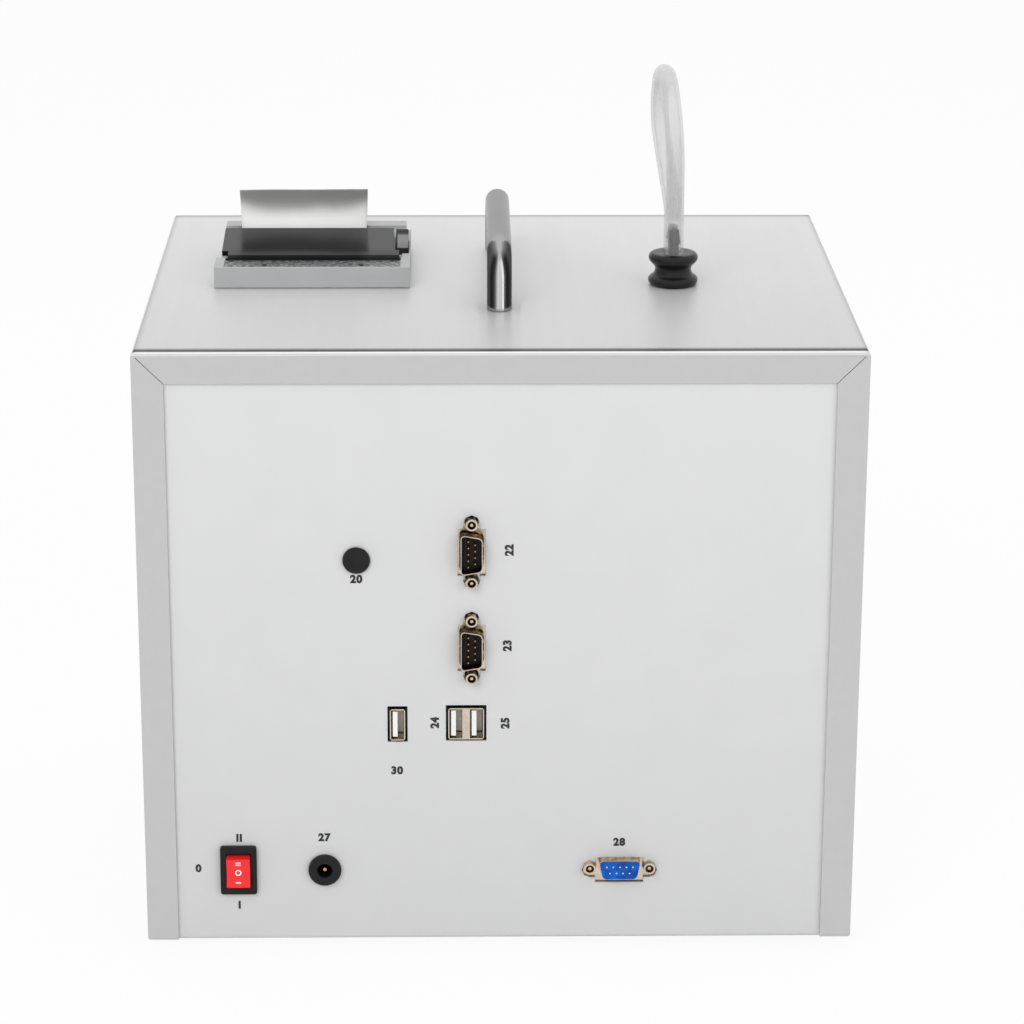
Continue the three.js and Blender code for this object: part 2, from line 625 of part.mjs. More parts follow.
function printerBody() {
  const p = printer;
  const seat = FIT;
  const wallEnd = p.wallRise + slopeAt(lid.y1);
  const side = outline([
    [0, seat],
    [p.end, seat],
    [p.end, p.rearRise],
    [p.rearStart, p.rearRise],
    [p.rearStart, wallEnd],
    [lid.y1 + FIT, wallEnd],
    [p.cheekEnd, p.wallRise],
    [0, p.wallRise],
  ]);
  const body = join(
    extruded('x', side, -printerWall, printerWall),
    box(-p.half, p.half, 0, p.cheekEnd, seat, p.barRise),
    box(printerWall - p.shell, p.half, p.cheekEnd - p.shell, p.end, seat, p.barRise),
    box(-printerWell, printerWell, p.wellStart, p.wellEnd, -p.depth, seat + p.shell),
  );
  const recessHalf = p.half - p.cheek;
  const recess = box(-recessHalf, recessHalf, p.bar, p.cheekEnd + OVERRUN, p.recess, p.barRise + OVERRUN);
  const [r0, r1] = [paper0 - roll.sideGap - FIT, paper1 + roll.sideGap + FIT];
  const bucket = join(
    rod('x', roll.bucket, r0, r1, roll.y, roll.z, FINE),
    box(r0, r1, roll.y - roll.bucket / 2, head.y - FIT, roll.z, p.barRise + OVERRUN),
  );
  const top = p.rearRise + OVERRUN;
  const [nip0, nip1] = [lid.shoulder, head.y + head.thickness + FIT];
  const nip = box(armLeft - FIT, armRight + FIT, nip0, nip1, head.z0 - FIT - head.foot, top);
  const slotEnd = tear.y + tear.thickness + FIT;
  const slot = box(paper0 - p.shell, paper1 + p.shell, head.y, slotEnd, head.z1, top);
  const trough = rod('x', lid.trough, -lidNear - FIT, lidNear + FIT, lid.hingeY, lid.hingeZ, ROUND);
  const hingeHalf = lidNear + lid.pinReach + FIT;
  const hinge = rod('x', lid.pin + 2 * FIT, -hingeHalf, hingeHalf, lid.hingeY, lid.hingeZ, SMALL);
  const [pocket0, pocket1] = [lever.pivotY - lever.sweep, lever.y1 + FIT];
  const leverPocket = box(lever0 - FIT, lever1 + FIT, pocket0, pocket1, lever.z - FIT, top);
  const leverPin = rod('x', lever.pin + 2 * FIT, lever0 - p.shell, lever0, lever.pivotY, lever.pivotZ, SMALL);
  const tools = [recess, bucket, nip, slot, trough, hinge, leverPocket, leverPin];
  for (const end of [-1, 1]) {
    const x = end * p.notchX;
    const half = p.notch / 2;
    tools.push(box(x - half, x + half, p.notchY - half, p.notchY + half, p.recess - p.notch, p.barRise));
  }
  return cut(body, ...tools);
}

function printerLid() {
  const l = lid;
  const top = l.z0 + l.thickness;
  const nearEnd = l.shoulder + l.edge * 2;
  const tongue = outline([
    [l.y0, l.z0],
    [nearEnd, l.z0 + slopeAt(nearEnd)],
    [nearEnd, top + slopeAt(nearEnd) - l.edge],
    [nearEnd - l.edge, top + slopeAt(nearEnd)],
    [l.y0 + l.edge, top],
    [l.y0, top - l.edge],
  ]);
  const whole = outline([
    [l.shoulder, l.z0 + slopeAt(l.shoulder)],
    [l.y1, l.z0 + slopeAt(l.y1)],
    [l.y1, top + slopeAt(l.y1) - l.edge],
    [l.y1 - l.edge, top + slopeAt(l.y1)],
    [l.shoulder, top + slopeAt(l.shoulder)],
  ]);
  const arm = outline([
    [platen.y - l.armWidth, top],
    [platen.y - l.armWidth, platen.z],
    [platen.y - platen.shaft, platen.z - platen.shaft],
    [platen.y + platen.shaft / 2, platen.z - platen.shaft],
    [platen.y + platen.shaft, platen.z],
    [platen.y + platen.shaft, top + slopeAt(platen.y)],
  ]);
  const pinEnd = lidNear + l.pinReach;
  const plate = join(
    extruded('x', tongue, -lidNear, lidNear),
    extruded('x', whole, lidLeft, lidRight),
    rod('x', l.barrel, -lidNear, lidNear, l.hingeY, l.hingeZ, SMALL),
    rod('x', l.pin, -pinEnd, pinEnd, l.hingeY, l.hingeZ, SMALL),
    extruded('x', arm, armLeft, armLeft + l.arm),
    extruded('x', arm, armRight - l.arm, armRight),
  );
  const [shaft0, shaft1] = [armLeft - OVERRUN, armRight + OVERRUN];
  const shaft = rod('x', platen.shaft + 2 * FIT, shaft0, shaft1, platen.y, platen.z, SMALL);
  const roller = platen.diameter + 2 * FIT;
  const relief = rod('x', roller, armLeft + l.arm, armRight - l.arm, platen.y, platen.z, ROUND);
  return cut(plate, shaft, relief);
}

function platenRoller() {
  const p = platen;
  const tooth = [
    [-toothRootShare, p.gearRoot],
    [-toothTipShare, p.gear],
    [toothTipShare, p.gear],
    [toothRootShare, p.gearRoot],
  ];
  const gear = [];
  for (let i = 0; i < p.teeth; i += 1) {
    for (const [share, diameter] of tooth) {
      const angle = (2 * Math.PI * (i + share)) / p.teeth;
      gear.push([p.y + (diameter / 2) * Math.cos(angle), p.z + (diameter / 2) * Math.sin(angle)]);
    }
  }
  const gearEnd = armRight - lid.arm - FIT;
  return join(
    rod('x', p.shaft, armLeft, armRight, p.y, p.z, SMALL),
    rod('x', p.diameter, paper0 - FIT, paper1 + FIT, p.y, p.z, ROUND),
    extruded('x', outline(gear), gearEnd - p.gearWidth, gearEnd),
  );
}

function paperRoll() {
  const core = rod('x', roll.core, paper0 - OVERRUN, paper1 + OVERRUN, roll.y, rollCentre, ROUND);
  return cut(rod('x', roll.diameter, paper0, paper1, roll.y, rollCentre, FINE), core);
}

// The strip leaves the roll, passes between platen and print head, and curls out of the slot
function paperStrip() {
  const start = roll.y + roll.diameter / 2 + FIT + paper.thickness / 2;
  const nip = (platen.y + platen.diameter / 2 + head.y) / 2;
  const points = [
    [start, rollCentre],
    [nip, platen.z - platen.diameter],
    [nip, head.z1],
    [tear.y - tear.tooth - FIT * 2, tear.z0],
    [tear.y - tear.tooth - FIT, tear.z1],
    [tear.y - tear.tooth, paper.rise * paperCurlShare],
    [tear.y - platen.shaft / 2, paper.rise],
  ].map(([y, z]) => new THREE.Vector3(0, y, z));
  const curve = new THREE.CatmullRomCurve3(points, false, 'centripetal');
  const middle = curve.getPoints(paper.steps);
  const sides = [-1, 1].map((side) => middle.map((point, i) => {
    const tangent = curve.getTangent(i / paper.steps);
    const offset = (side * paper.thickness) / 2;
    return [point.y + tangent.z * offset, point.z - tangent.y * offset];
  }));
  return extruded('x', outline([...sides[1], ...sides[0].reverse()]), paper0, paper1);
}

function printHead() {
  const { y, thickness, z0, z1 } = head;
  const face = outline([
    [y, z0],
    [y + thickness, z0],
    [y + thickness, z1],
    [y + thickness / 2, z1],
    [y, z1 - thickness / 2],
  ]);
  return join(
    extruded('x', face, paper0, paper1),
    box(paper0 + head.foot, paper1 - head.foot, y, y + thickness, z0 - head.foot, z0 + thickness),
  );
}

function tearBar() {
  const t = tear;
  const [x0, x1] = [paper0 - FIT, paper1 + FIT];
  const count = Math.round((x1 - x0) / t.pitch);
  const pitch = (x1 - x0) / count;
  const points = [[x0, t.y + t.thickness], [x0, t.y]];
  for (let i = 0; i < count; i += 1) {
    points.push([x0 + pitch * (i + 0.5), t.y - t.tooth]);
    points.push([x0 + pitch * (i + 1), t.y]);
  }
  points.push([x1, t.y + t.thickness]);
  return extruded('z', outline(points), t.z1 - t.thickness, t.z1)
    .add(box(x0, x1, t.y, t.y + t.thickness, t.z0, t.z1));
}

function releaseLever() {
  const l = lever;
  const side = outline([
    [l.y0, l.z + l.hub / 2],
    [l.pivotY, l.z],
    [l.y1 - l.hub, l.z],
    [l.y1, l.z + l.hub],
    [l.y1, l.top - printer.bar],
    [l.y1 - printer.bar, l.top],
    [l.y0 + l.hub, l.top - l.hub / 2],
    [l.y0, l.pivotZ + l.hub / 2],
  ]);
  return join(
    extruded('x', side, lever0, lever1),
    rod('x', l.pin, lever0 - printer.shell + FIT, lever0 + FIT, l.pivotY, l.pivotZ, SMALL),
  );
}

add(printerFrame, 'printer_body', printerBody(), 'greyPlastic');
add(printerFrame, 'printer_lid', printerLid(), 'glossBlack');
add(printerFrame, 'platen_roller', platenRoller(), 'rubber');
add(printerFrame, 'print_head', printHead(), 'zinc');
add(printerFrame, 'tear_bar', tearBar(), 'steel');
add(printerFrame, 'paper_roll', paperRoll(), 'paper');
add(printerFrame, 'paper_strip', paperStrip(), 'paper');
add(printerFrame, 'release_lever', releaseLever(), 'blackPlastic');

// Rear face: local x across, y up from the underside, z outward from the flange face

const rearFrame = new THREE.Group();
rearFrame.position.set(0, REAR, UNDERSIDE);
rearFrame.rotation.x = Math.PI / 2;
analyzer.add(rearFrame);

const panelFace = -SHEET - FIT;
const panelBack = panelFace - SHEET;
const behindPanel = panelBack - FIT;
const boardFace = panelFace - usb.depth;

// The cut-outs in the rear upright, one tool for each connector
function rearCutouts() {
  const [y0, y1] = [-UPRIGHT - OVERRUN, OVERRUN - UPRIGHT_INNER];
  const bore = (diameter, x, z, sides = SMALL) => rod('y', diameter, y0, y1, x, UNDERSIDE + z, sides);
  const window = (x, z, width, height) => {
    const [w, h] = [width / 2, height / 2];
    return box(x - w, x + w, y0, y1, UNDERSIDE + z - h, UNDERSIDE + z + h);
  };
  const tools = [];
  for (const port of Object.keys(portX)) {
    const [x, y, turn] = [portX[port], portY[port], portTurn[port]];
    const across = [[dsub.span, dsub.windowHeight], [dsub.screws, dsub.ear]];
    for (const [width, height] of across) {
      tools.push(turn ? window(x, y, height, width) : window(x, y, width, height));
    }
    for (const shift of [-dsub.screws / 2, dsub.screws / 2]) {
      tools.push(turn ? bore(dsub.ear, x, y + shift) : bore(dsub.ear, x + shift, y));
    }
  }
  for (const socket of [usb.single, usb.dual]) {
    const [width, height] = usbSize(socket).map((size) => size + 2 * usb.margin);
    tools.push(window(socket.x, socket.y, width, height));
  }
  tools.push(window(rockerX, rocker.y, rocker.body + 2 * FIT, rocker.bodyHeight + 2 * FIT));
  tools.push(bore(jack.barrel + 2 * FIT, jackX, jack.y, ROUND));
  tools.push(bore(aerial.stem + 2 * FIT, aerial.x, aerial.y, ROUND));
  return tools;
}

// The connector's D outline, the wide side up, drawn in from the shroud's outside
function dOutline(inset) {
  const top = dsub.width / 2 - inset;
  const low = top - dsub.slant;
  const h = dsub.height / 2 - inset;
  const c = dsub.corner - inset / 2;
  const right = [[low - c, -h], [low, c - h], [top, h - c], [top - c, h]];
  const left = right.map(([x, y]) => [-x, y]).reverse();
  return outline([...right, ...left]);
}

function dsubShell() {
  const d = dsub;
  const [back, face] = [behindPanel - d.plateThickness, panelFace + d.out];
  const plate = roundedRectangle(-d.plate / 2, d.plate / 2, -d.plateHeight / 2, d.plateHeight / 2, d.corner);
  let shell = join(
    extruded('z', plate, back, behindPanel, 2),
    extruded('z', dOutline(0), back, face),
  );
  shell = cut(shell, extruded('z', dOutline(d.wall), back - OVERRUN, face + OVERRUN));
  for (const side of [-1, 1]) {
    const x = (side * d.screws) / 2;
    const top = panelFace + d.jackOut;
    shell = join(shell, rod('z', d.jack, back - d.plateThickness, top, x, 0, SMALL));
    shell = cut(shell, rod('z', d.jackBore, behindPanel, top + OVERRUN, x, 0, TINY));
  }
  return shell;
}

function dsubInsulator() {
  const d = dsub;
  const back = behindPanel - d.plateThickness - FIT;
  const rim = panelFace + d.out;
  let block = join(
    box(-d.block / 2, d.block / 2, -d.blockHeight / 2, d.blockHeight / 2, boardFace + FIT, back),
    extruded('z', dOutline(d.wall + FIT), back - d.wall, rim - d.recess),
  );
  const [pin0, pin1] = [rim - d.recess - d.wall, rim - d.recess + d.pinOut];
  for (const [count, y] of [[5, d.rowPitch / 2], [4, -d.rowPitch / 2]]) {
    for (let i = 0; i < count; i += 1) {
      const x = (i - (count - 1) / 2) * d.pinPitch;
      block = join(block, rod('z', d.pin, pin0, pin1, x, y, TINY));
    }
  }
  return block;
}

for (const port of Object.keys(portX)) {
  const place = new THREE.Group();
  place.position.set(portX[port], portY[port], 0);
  place.rotation.z = THREE.MathUtils.degToRad(portTurn[port]);
  rearFrame.add(place);
  add(place, `${port}_port_shell`, dsubShell(), 'nickel');
  add(place, `${port}_port_insulator`, dsubInsulator(), portTurn[port] ? 'blackPlastic' : 'bluePlastic');
}

function usbSize(socket) {
  const width = (socket.ports - 1) * usb.pitch + usb.port + 2 * usb.wall;
  return [width, usb.portHeight + 2 * usb.wall];
}

function portPlaces(socket) {
  return [...Array(socket.ports).keys()].map((i) => (i - (socket.ports - 1) / 2) * usb.pitch);
}

function usbShell(socket) {
  const u = usb;
  const [w, h] = usbSize(socket).map((size) => size / 2);
  const [back, face] = [boardFace + FIT, panelFace + u.out];
  const c = u.chamfer;
  const right = [[w - c, -h], [w, c - h], [w, h - c], [w - c, h]];
  const left = right.map(([x, y]) => [-x, y]).reverse();
  const rim = extruded('z', outline([...right, ...left]), back, face);
  const inside = back + u.back + FIT;
  const [y0, y1] = [-u.portHeight / 2, u.portHeight / 2];
  const mouths = portPlaces(socket).map((x) => (
    box(x - u.port / 2, x + u.port / 2, y0, y1, inside - OVERRUN, face + OVERRUN)
  ));
  return cut(rim, ...mouths, box(u.wall - w, w - u.wall, y0, y1, back - OVERRUN, inside));
}

function usbTongue(socket) {
  const u = usb;
  const [w, h] = usbSize(socket).map((size) => size / 2 - u.wall - FIT);
  const back = boardFace + FIT;
  const tip = panelFace + u.out - u.tongueRecess;
  const half = u.tongueHeight / 2;
  const tongues = portPlaces(socket).map((x) => {
    const left = x - u.port / 2 + u.tongueSet;
    return box(left, left + u.tongue, -half, half, back + u.back / 2, tip);
  });
  return join(box(-w, w, -h, h, back, back + u.back), ...tongues);
}

for (const [name, socket] of [['usb_single', usb.single], ['usb_dual', usb.dual]]) {
  const place = new THREE.Group();
  place.position.set(socket.x, socket.y, 0);
  rearFrame.add(place);
  add(place, `${name}_shell`, usbShell(socket), 'nickel');
  add(place, `${name}_tongue`, usbTongue(socket), 'whitePlastic');
}

// Three-position rocker switch, pressed into the panel from outside

function switchBody() {
  const r = rocker;
  const seat = panelFace + FIT;
  const face = panelFace + r.rim;
  const rim = roundedRectangle(-r.width / 2, r.width / 2, -r.height / 2, r.height / 2, r.corner);
  const back = panelFace - r.depth;
  let body = join(
    extruded('z', rim, seat, face, 3),
    box(-r.body / 2, r.body / 2, -r.bodyHeight / 2, r.bodyHeight / 2, back, seat + FIT),
  );
  const [w, t] = [r.blade / 2, r.bladeThickness / 2];
  for (const step of [-1, 0, 1]) {
    const y = step * (r.mouthHeight / 2 - r.bladeThickness);
    body = join(body, box(-w, w, y - t, y + t, back - r.bladeLength, back + FIT));
  }
  const [mouthHalf, mouthRise] = [r.mouth / 2, r.mouthHeight / 2];
  const mouth = box(-mouthHalf, mouthHalf, -mouthRise, mouthRise, back + r.rim, face + OVERRUN);
  const reach = mouthHalf + r.pinReach;
  const pins = rod('x', r.pin + 2 * FIT, -reach, reach, 0, panelFace, SMALL);
  return cut(body, mouth, pins);
}

// The rocker's own frame has its pivot at the origin
function switchRocker() {
  const r = rocker;
  const half = r.mouth / 2 - FIT;
  const h = r.mouthHeight / 2 - FIT;
  const side = outline([
    [h - r.waist, 0],
    [h - r.waist, r.shoulder],
    [h - 2 * r.waist, r.peak],
    [0, r.valley],
    [2 * r.waist - h, r.peak],
    [r.waist - h, r.shoulder],
    [r.waist - h, 0],
    [-r.baseHalf, -r.base],
    [r.baseHalf, -r.base],
  ]);
  const reach = half + r.pinReach;
  return join(extruded('x', side, -half, half), rod('x', r.pin, -reach, reach, 0, 0, SMALL));
}

const switchPlace = new THREE.Group();
switchPlace.position.set(rockerX, rocker.y, 0);
rearFrame.add(switchPlace);
add(switchPlace, 'switch_body', switchBody(), 'blackPlastic');
add(switchPlace, 'switch_rocker', switchRocker(), 'redPlastic').position.z = panelFace;

// Power socket, its centre pin and the nut behind the panel

const jackBack = panelFace - jack.depth;

function jackBody() {
  const j = jack;
  const seat = panelFace + FIT;
  const face = panelFace + j.flangeThickness;
  const [flange, barrel, bore, pin] = [j.flange / 2, j.barrel / 2, j.bore / 2, j.pin / 2 + FIT];
  return turned([
    [bore, face],
    [flange - j.chamfer, face],
    [flange, face - j.chamfer],
    [flange, seat],
    [barrel, seat],
    [barrel, jackBack],
    [pin, jackBack],
    [pin, jackBack + j.floor],
    [bore, jackBack + j.floor],
    [bore, face],
  ], 0, 0, ROUND);
}

const jackPlace = new THREE.Group();
const jackPin = rod('z', jack.pin, jackBack - jack.tail, panelFace + jack.chamfer, 0, 0, SMALL);
jackPlace.position.set(jackX, jack.y, 0);
rearFrame.add(jackPlace);
add(jackPlace, 'jack_body', jackBody(), 'blackPlastic');
add(jackPlace, 'jack_pin', jackPin, 'gold');
add(jackPlace, 'jack_nut', cut(
  rod('z', jack.nut, behindPanel - jack.nutThickness, behindPanel, 0, 0, HEX),
  rod('z', jack.barrel + 2 * FIT, behindPanel - OVERRUN, behindPanel + OVERRUN, 0, 0, FINE),
), 'zinc');

function aerialCap() {
  const a = aerial;
  const seat = panelFace + FIT;
  const top = panelFace + a.rise;
  const [cap, stem, barb] = [a.cap / 2, a.stem / 2, a.barb / 2];
  const back = behindPanel - a.barbLength;
  return turned([
    [0, back],
    [stem - FIT, back],
    [barb, behindPanel],
    [stem, behindPanel],
    [stem, seat],
    [cap, seat],
    [cap, seat + FIT],
    [cap - a.edge / 2, top - a.edge / 2],
    [cap - 2 * a.edge, top - FIT],
    [0, top],
  ], a.x, a.y, ROUND);
}

add(rearFrame, 'aerial_cap', aerialCap(), 'blackPlastic');

function ioBoardSolid() {
  const { x0, x1, y0, y1, thickness } = ioBoard;
  return box(x0, x1, y0, y1, boardFace - thickness, boardFace);
}

add(rearFrame, 'io_board', ioBoardSolid(), 'board');

// Boards

const boardSeat = FLOOR + tray.standoffHeight + FIT;

function mainBoardSolid() {
  const b = mainBoard;
  const [width, depth] = [b.x1 - b.x0, b.y1 - b.y0];
  const top = boardSeat + b.thickness;
  let board = box(b.x0, b.x1, b.y0, b.y1, boardSeat, top);
  for (const [xShare, yShare, widthShare, depthShare, riseShare] of boardPartShares) {
    const [x, y] = [b.x0 + width * xShare, b.y0 + depth * yShare];
    const [w, h] = [(width * widthShare) / 2, (depth * depthShare) / 2];
    board = join(board, box(x - w, x + w, y - h, y + h, top - FIT, top + b.partRise * riseShare));
  }
  const [z0, z1] = [boardSeat - OVERRUN, top + OVERRUN];
  return cut(board, ...corners(b, b.hole).map(([x, y]) => rod('z', tray.standoffBore, z0, z1, x, y, TINY)));
}

add(analyzer, 'main_board', mainBoardSolid(), 'board');

// Battery held on the floor by a strap

const batterySeat = FLOOR + FIT;
const batteryTop = batterySeat + battery.height;

function batterySolid() {
  const { corner, step, lid: rim, tab, tabRise, tabThickness } = battery;
  const { x0, x1, y0, y1 } = batteryPlan;
  const rimBase = batteryTop - rim;
  const jar = roundedRectangle(x0 + step, x1 - step, y0 + step, y1 - step, corner);
  let body = join(
    extruded('z', jar, batterySeat, rimBase + FIT),
    extruded('z', roundedRectangle(x0, x1, y0, y1, corner), rimBase, batteryTop),
  );
  const [w, t] = [tab / 2, tabThickness / 2];
  const y = y0 + tab * 2;
  for (const x of [x0 + tab * 2, x1 - tab * 2]) {
    body = join(body, box(x - w, x + w, y - t, y + t, batteryTop - FIT, batteryTop + tabRise));
  }
  return body;
}

function batteryStrap() {
  const s = strap;
  const [x0, x1] = [batteryPlan.x0 - FIT, batteryPlan.x1 + FIT];
  const [z0, z1] = [FLOOR + FIT, batteryTop + FIT];
  const t = s.thickness;
  const shape = outline([
    [x0 - s.foot, z0],
    [x0, z0],
    [x0, z1],
    [x1, z1],
    [x1, z0],
    [x1 + s.foot, z0],
    [x1 + s.foot, z0 + t],
    [x1 + t, z0 + t],
    [x1 + t, z1 + t],
    [x0 - t, z1 + t],
    [x0 - t, z0 + t],
    [x0 - s.foot, z0 + t],
  ]);
  return extruded('y', shape, -s.width / 2, s.width / 2);
}

add(analyzer, 'battery', batterySolid(), 'blackPlastic');
add(analyzer, 'battery_strap', batteryStrap(), 'zinc');

// Peristaltic pump: rollers on a turning carrier squeeze a tube against a half-round track

const trackRadius = tubeLine + pump.tube / 2 + FIT;
const pumpHalf = trackRadius + pump.wall;
const pumpFrame = new THREE.Group();
pumpFrame.position.set(...pumpPlace, pump.z);
analyzer.add(pumpFrame);
const pumpBack = -pump.depth / 2;

function pumpHead() {
  const p = pump;
  const base = FLOOR + tray.standoffHeight + FIT - p.z;
  const [y0, y1] = [pumpBack - p.plate, p.depth / 2];
  const sole = pumpFootLocal;
  const body = join(
    box(-pumpHalf, pumpHalf, y0, y1, -pumpHalf, p.cheekRise),
    box(-p.web / 2, p.web / 2, y0, y0 + p.plate * 2, base, -pumpHalf + p.plate),
    box(sole.x0, sole.x1, sole.y0, sole.y1, base, base + p.footThickness),
  );
  const trackBore = (2 * trackRadius) / Math.cos(Math.PI / FINE);
  const track = join(
    rod('y', trackBore, pumpBack, y1 + OVERRUN, 0, 0, FINE),
    box(-trackRadius, trackRadius, pumpBack, y1 + OVERRUN, 0, p.cheekRise + OVERRUN),
  );
  const shaft = rod('y', p.collar + 2 * FIT, y0 - OVERRUN, pumpBack + OVERRUN, 0, 0, ROUND);
  const [z0, z1] = [base - OVERRUN, base + p.footThickness + OVERRUN];
  const holes = corners(sole, sole.hole).map(([x, y]) => rod('z', tray.standoffBore, z0, z1, x, y, TINY));
  return cut(body, track, shaft, ...holes);
}

function pumpMotor() {
  const p = pump;
  const face = pumpBack - p.plate - FIT;
  const rear = face - p.gearboxLength;
  return join(
    rod('y', p.gearbox, rear, face, 0, 0, FINE),
    rod('y', p.motor, rear - p.motorLength, rear + FIT, 0, 0, FINE),
    rod('y', p.collar, face - FIT, pumpBack - FIT, 0, 0, ROUND),
    rod('y', p.shaft, face - FIT, p.depth / 2 - p.plate, 0, 0, SMALL),
    rod('y', p.collar, rear - p.motorLength - p.plate, rear - p.motorLength + FIT, 0, 0, SMALL),
  );
}

const rollerPlaces = [...Array(pump.rollers).keys()].map((i) => {
  const angle = (2 * Math.PI * i) / pump.rollers + Math.PI / 6;
  return [pump.orbit * Math.cos(angle), pump.orbit * Math.sin(angle)];
});
const rollerEnd = pump.rollerLength / 2;

function pumpRotor() {
  const p = pump;
  const disc = rollerEnd + FIT;
  const outer = disc + p.discThickness;
  const carrier = join(
    rod('y', p.disc, -outer, -disc, 0, 0, FINE),
    rod('y', p.disc, disc, outer, 0, 0, FINE),
    rod('y', p.hub, -outer, outer, 0, 0, ROUND),
    ...rollerPlaces.map(([x, z]) => rod('y', p.rollerPin, -outer, outer, x, z, SMALL)),
  );
  return cut(carrier, rod('y', p.shaft + 2 * FIT, -outer - OVERRUN, outer + OVERRUN, 0, 0, SMALL));
}

function pumpRoller() {
  return cut(
    rod('y', pump.roller, -rollerEnd, rollerEnd, 0, 0, ROUND),
    rod('y', pump.rollerPin + 2 * FIT, -rollerEnd - OVERRUN, rollerEnd + OVERRUN, 0, 0, SMALL),
  );
}

// The pump tube drops from the near nipple, lies in the track and rises again to an open tail
function pumpTube() {
  const top = DECK_BELOW - bung.plug - FIT - pump.z;
  const tail = pump.tail;
  const arc = (angle) => new THREE.Vector3(tubeLine * Math.cos(angle), 0, tubeLine * Math.sin(angle));
  const route = (extra) => {
    const points = [top + extra, tail, tail / 2].map((z) => new THREE.Vector3(-tubeLine, 0, z));
    for (let i = 0; i <= pump.tubeTurns; i += 1) points.push(arc(Math.PI + (Math.PI * i) / pump.tubeTurns));
    for (const z of [tail / 2, tail, 2 * tail + extra]) points.push(new THREE.Vector3(tubeLine, 0, z));
    return new THREE.CatmullRomCurve3(points, false, 'centripetal');
  };
  const grip = hose.tail + hose.barbLength;
  const sleeve = rod('z', hose.outer, top - grip - hose.seat, top, -tubeLine, 0, SMALL);
  const socket = rod('z', hose.barb + 2 * FIT, top - grip, top + OVERRUN, -tubeLine, 0, SMALL);
  const outer = swept(route(-FIT), pump.tube, pump.steps, SMALL);
  return cut(join(outer, sleeve), socket, swept(route(OVERRUN), pump.tubeBore, pump.steps, TINY));
}

add(pumpFrame, 'pump_head', pumpHead(), 'greyPlastic');
add(pumpFrame, 'pump_motor', pumpMotor(), 'zinc');
add(pumpFrame, 'pump_rotor', pumpRotor(), 'whitePlastic');
rollerPlaces.forEach(([x, z], i) => {
  add(pumpFrame, `pump_roller_${i + 1}`, pumpRoller(), 'whitePlastic').position.set(x, 0, z);
});
add(pumpFrame, 'pump_tube', pumpTube(), 'silicone');

// Milk sensor against the front upright, and the hoses on both sides of it

const sensorY = UPRIGHT_INNER - FIT - sensor.depth / 2;

function sensorBlock() {
  const s = sensor;
  const [x0, x1] = [sensorX - s.width / 2, sensorX + s.width / 2];
  const [y0, y1] = [sensorY - s.depth / 2, sensorY + s.depth / 2];
  const [z0, z1] = [s.z0 - s.nozzle, s.z1 + s.nozzle];
  const g = s.lidGroove;
  const lidBase = s.z1 - s.lid;
  const block = join(
    extruded('z', roundedRectangle(x0, x1, y0, y1, s.corner), s.z0, lidBase),
    extruded('z', roundedRectangle(x0 + g, x1 - g, y0 + g, y1 - g, s.corner), lidBase - g, lidBase + g),
    extruded('z', roundedRectangle(x0, x1, y0, y1, s.corner), lidBase + g, s.z1),
    rod('z', hose.barb, z0, z1, sensorX, sensorY, SMALL),
  );
  return cut(block, rod('z', hose.bore, z0 - OVERRUN, z1 + OVERRUN, sensorX, sensorY, TINY));
}

function outletHose() {
  const start = new THREE.Vector3(bungX, nipplePlaces[1], DECK_BELOW - bung.plug - FIT);
  const end = new THREE.Vector3(sensorX, sensorY, sensor.z1 + FIT);
  const middle = start.clone().lerp(end, 0.5);
  const down = new THREE.Vector3(0, 0, -1);
  return hoseSolid(start, down, [middle], end, down, hose.steps);
}

function intakeHose() {
  const start = new THREE.Vector3(suctionX, UPRIGHT_INNER - suction.bossIn - FIT, suction.z);
  const end = new THREE.Vector3(sensorX, sensorY, sensor.z0 - FIT);
  const low = start.z - hose.outer;
  const span = start.x - end.x;
  const near = new THREE.Vector3(start.x - span * routeShare, end.y - sensor.depth / 2, low);
  const far = new THREE.Vector3(end.x + span * routeShare, end.y - hose.outer, low - hose.outer);
  const [away, up] = [new THREE.Vector3(0, -1, 0), new THREE.Vector3(0, 0, 1)];
  return hoseSolid(start, away, [near, far], end, up, hose.steps);
}

add(analyzer, 'sensor_block', sensorBlock(), 'glossBlack');
add(analyzer, 'outlet_hose', outletHose(), 'silicone');
add(analyzer, 'intake_hose', intakeHose(), 'silicone');

// Operator side: suction tube, display and keypad

function frontCutouts() {
  const [y0, y1] = [UPRIGHT_INNER - OVERRUN, UPRIGHT + OVERRUN];
  const [w, h] = [display.width / 2, display.height / 2];
  return [
    box(displayX - w, displayX + w, y0, y1, display.z - h, display.z + h),
    rod('y', suction.neck + 2 * FIT, y0, y1, suctionX, suction.z, ROUND),
  ];
}

function suctionTube() {
  const s = suction;
  const [y0, y1] = [UPRIGHT_INNER - s.inside, FRONT + s.out];
  const route = (extra) => bentRoute([
    new THREE.Vector3(suctionX, y0 - extra, s.z),
    new THREE.Vector3(suctionX, y1, s.z),
    new THREE.Vector3(suctionX, y1, s.tip - extra),
  ], s.bend);
  return cut(swept(route(0), s.tube, s.steps, SMALL), swept(route(OVERRUN), s.bore, s.steps, TINY));
}

function suctionBoss() {
  const s = suction;
  const face = UPRIGHT + FIT;
  const out = face + s.bossOut;
  return cut(
    join(
      rod('y', s.boss, face, out, suctionX, s.z, FINE, s.boss - s.bossOut / 2),
      rod('y', s.neck, UPRIGHT_INNER - s.bossIn, face + FIT, suctionX, s.z, ROUND),
    ),
    rod('y', s.tube + 2 * FIT, UPRIGHT_INNER - s.bossIn - OVERRUN, out + OVERRUN, suctionX, s.z, SMALL),
  );
}

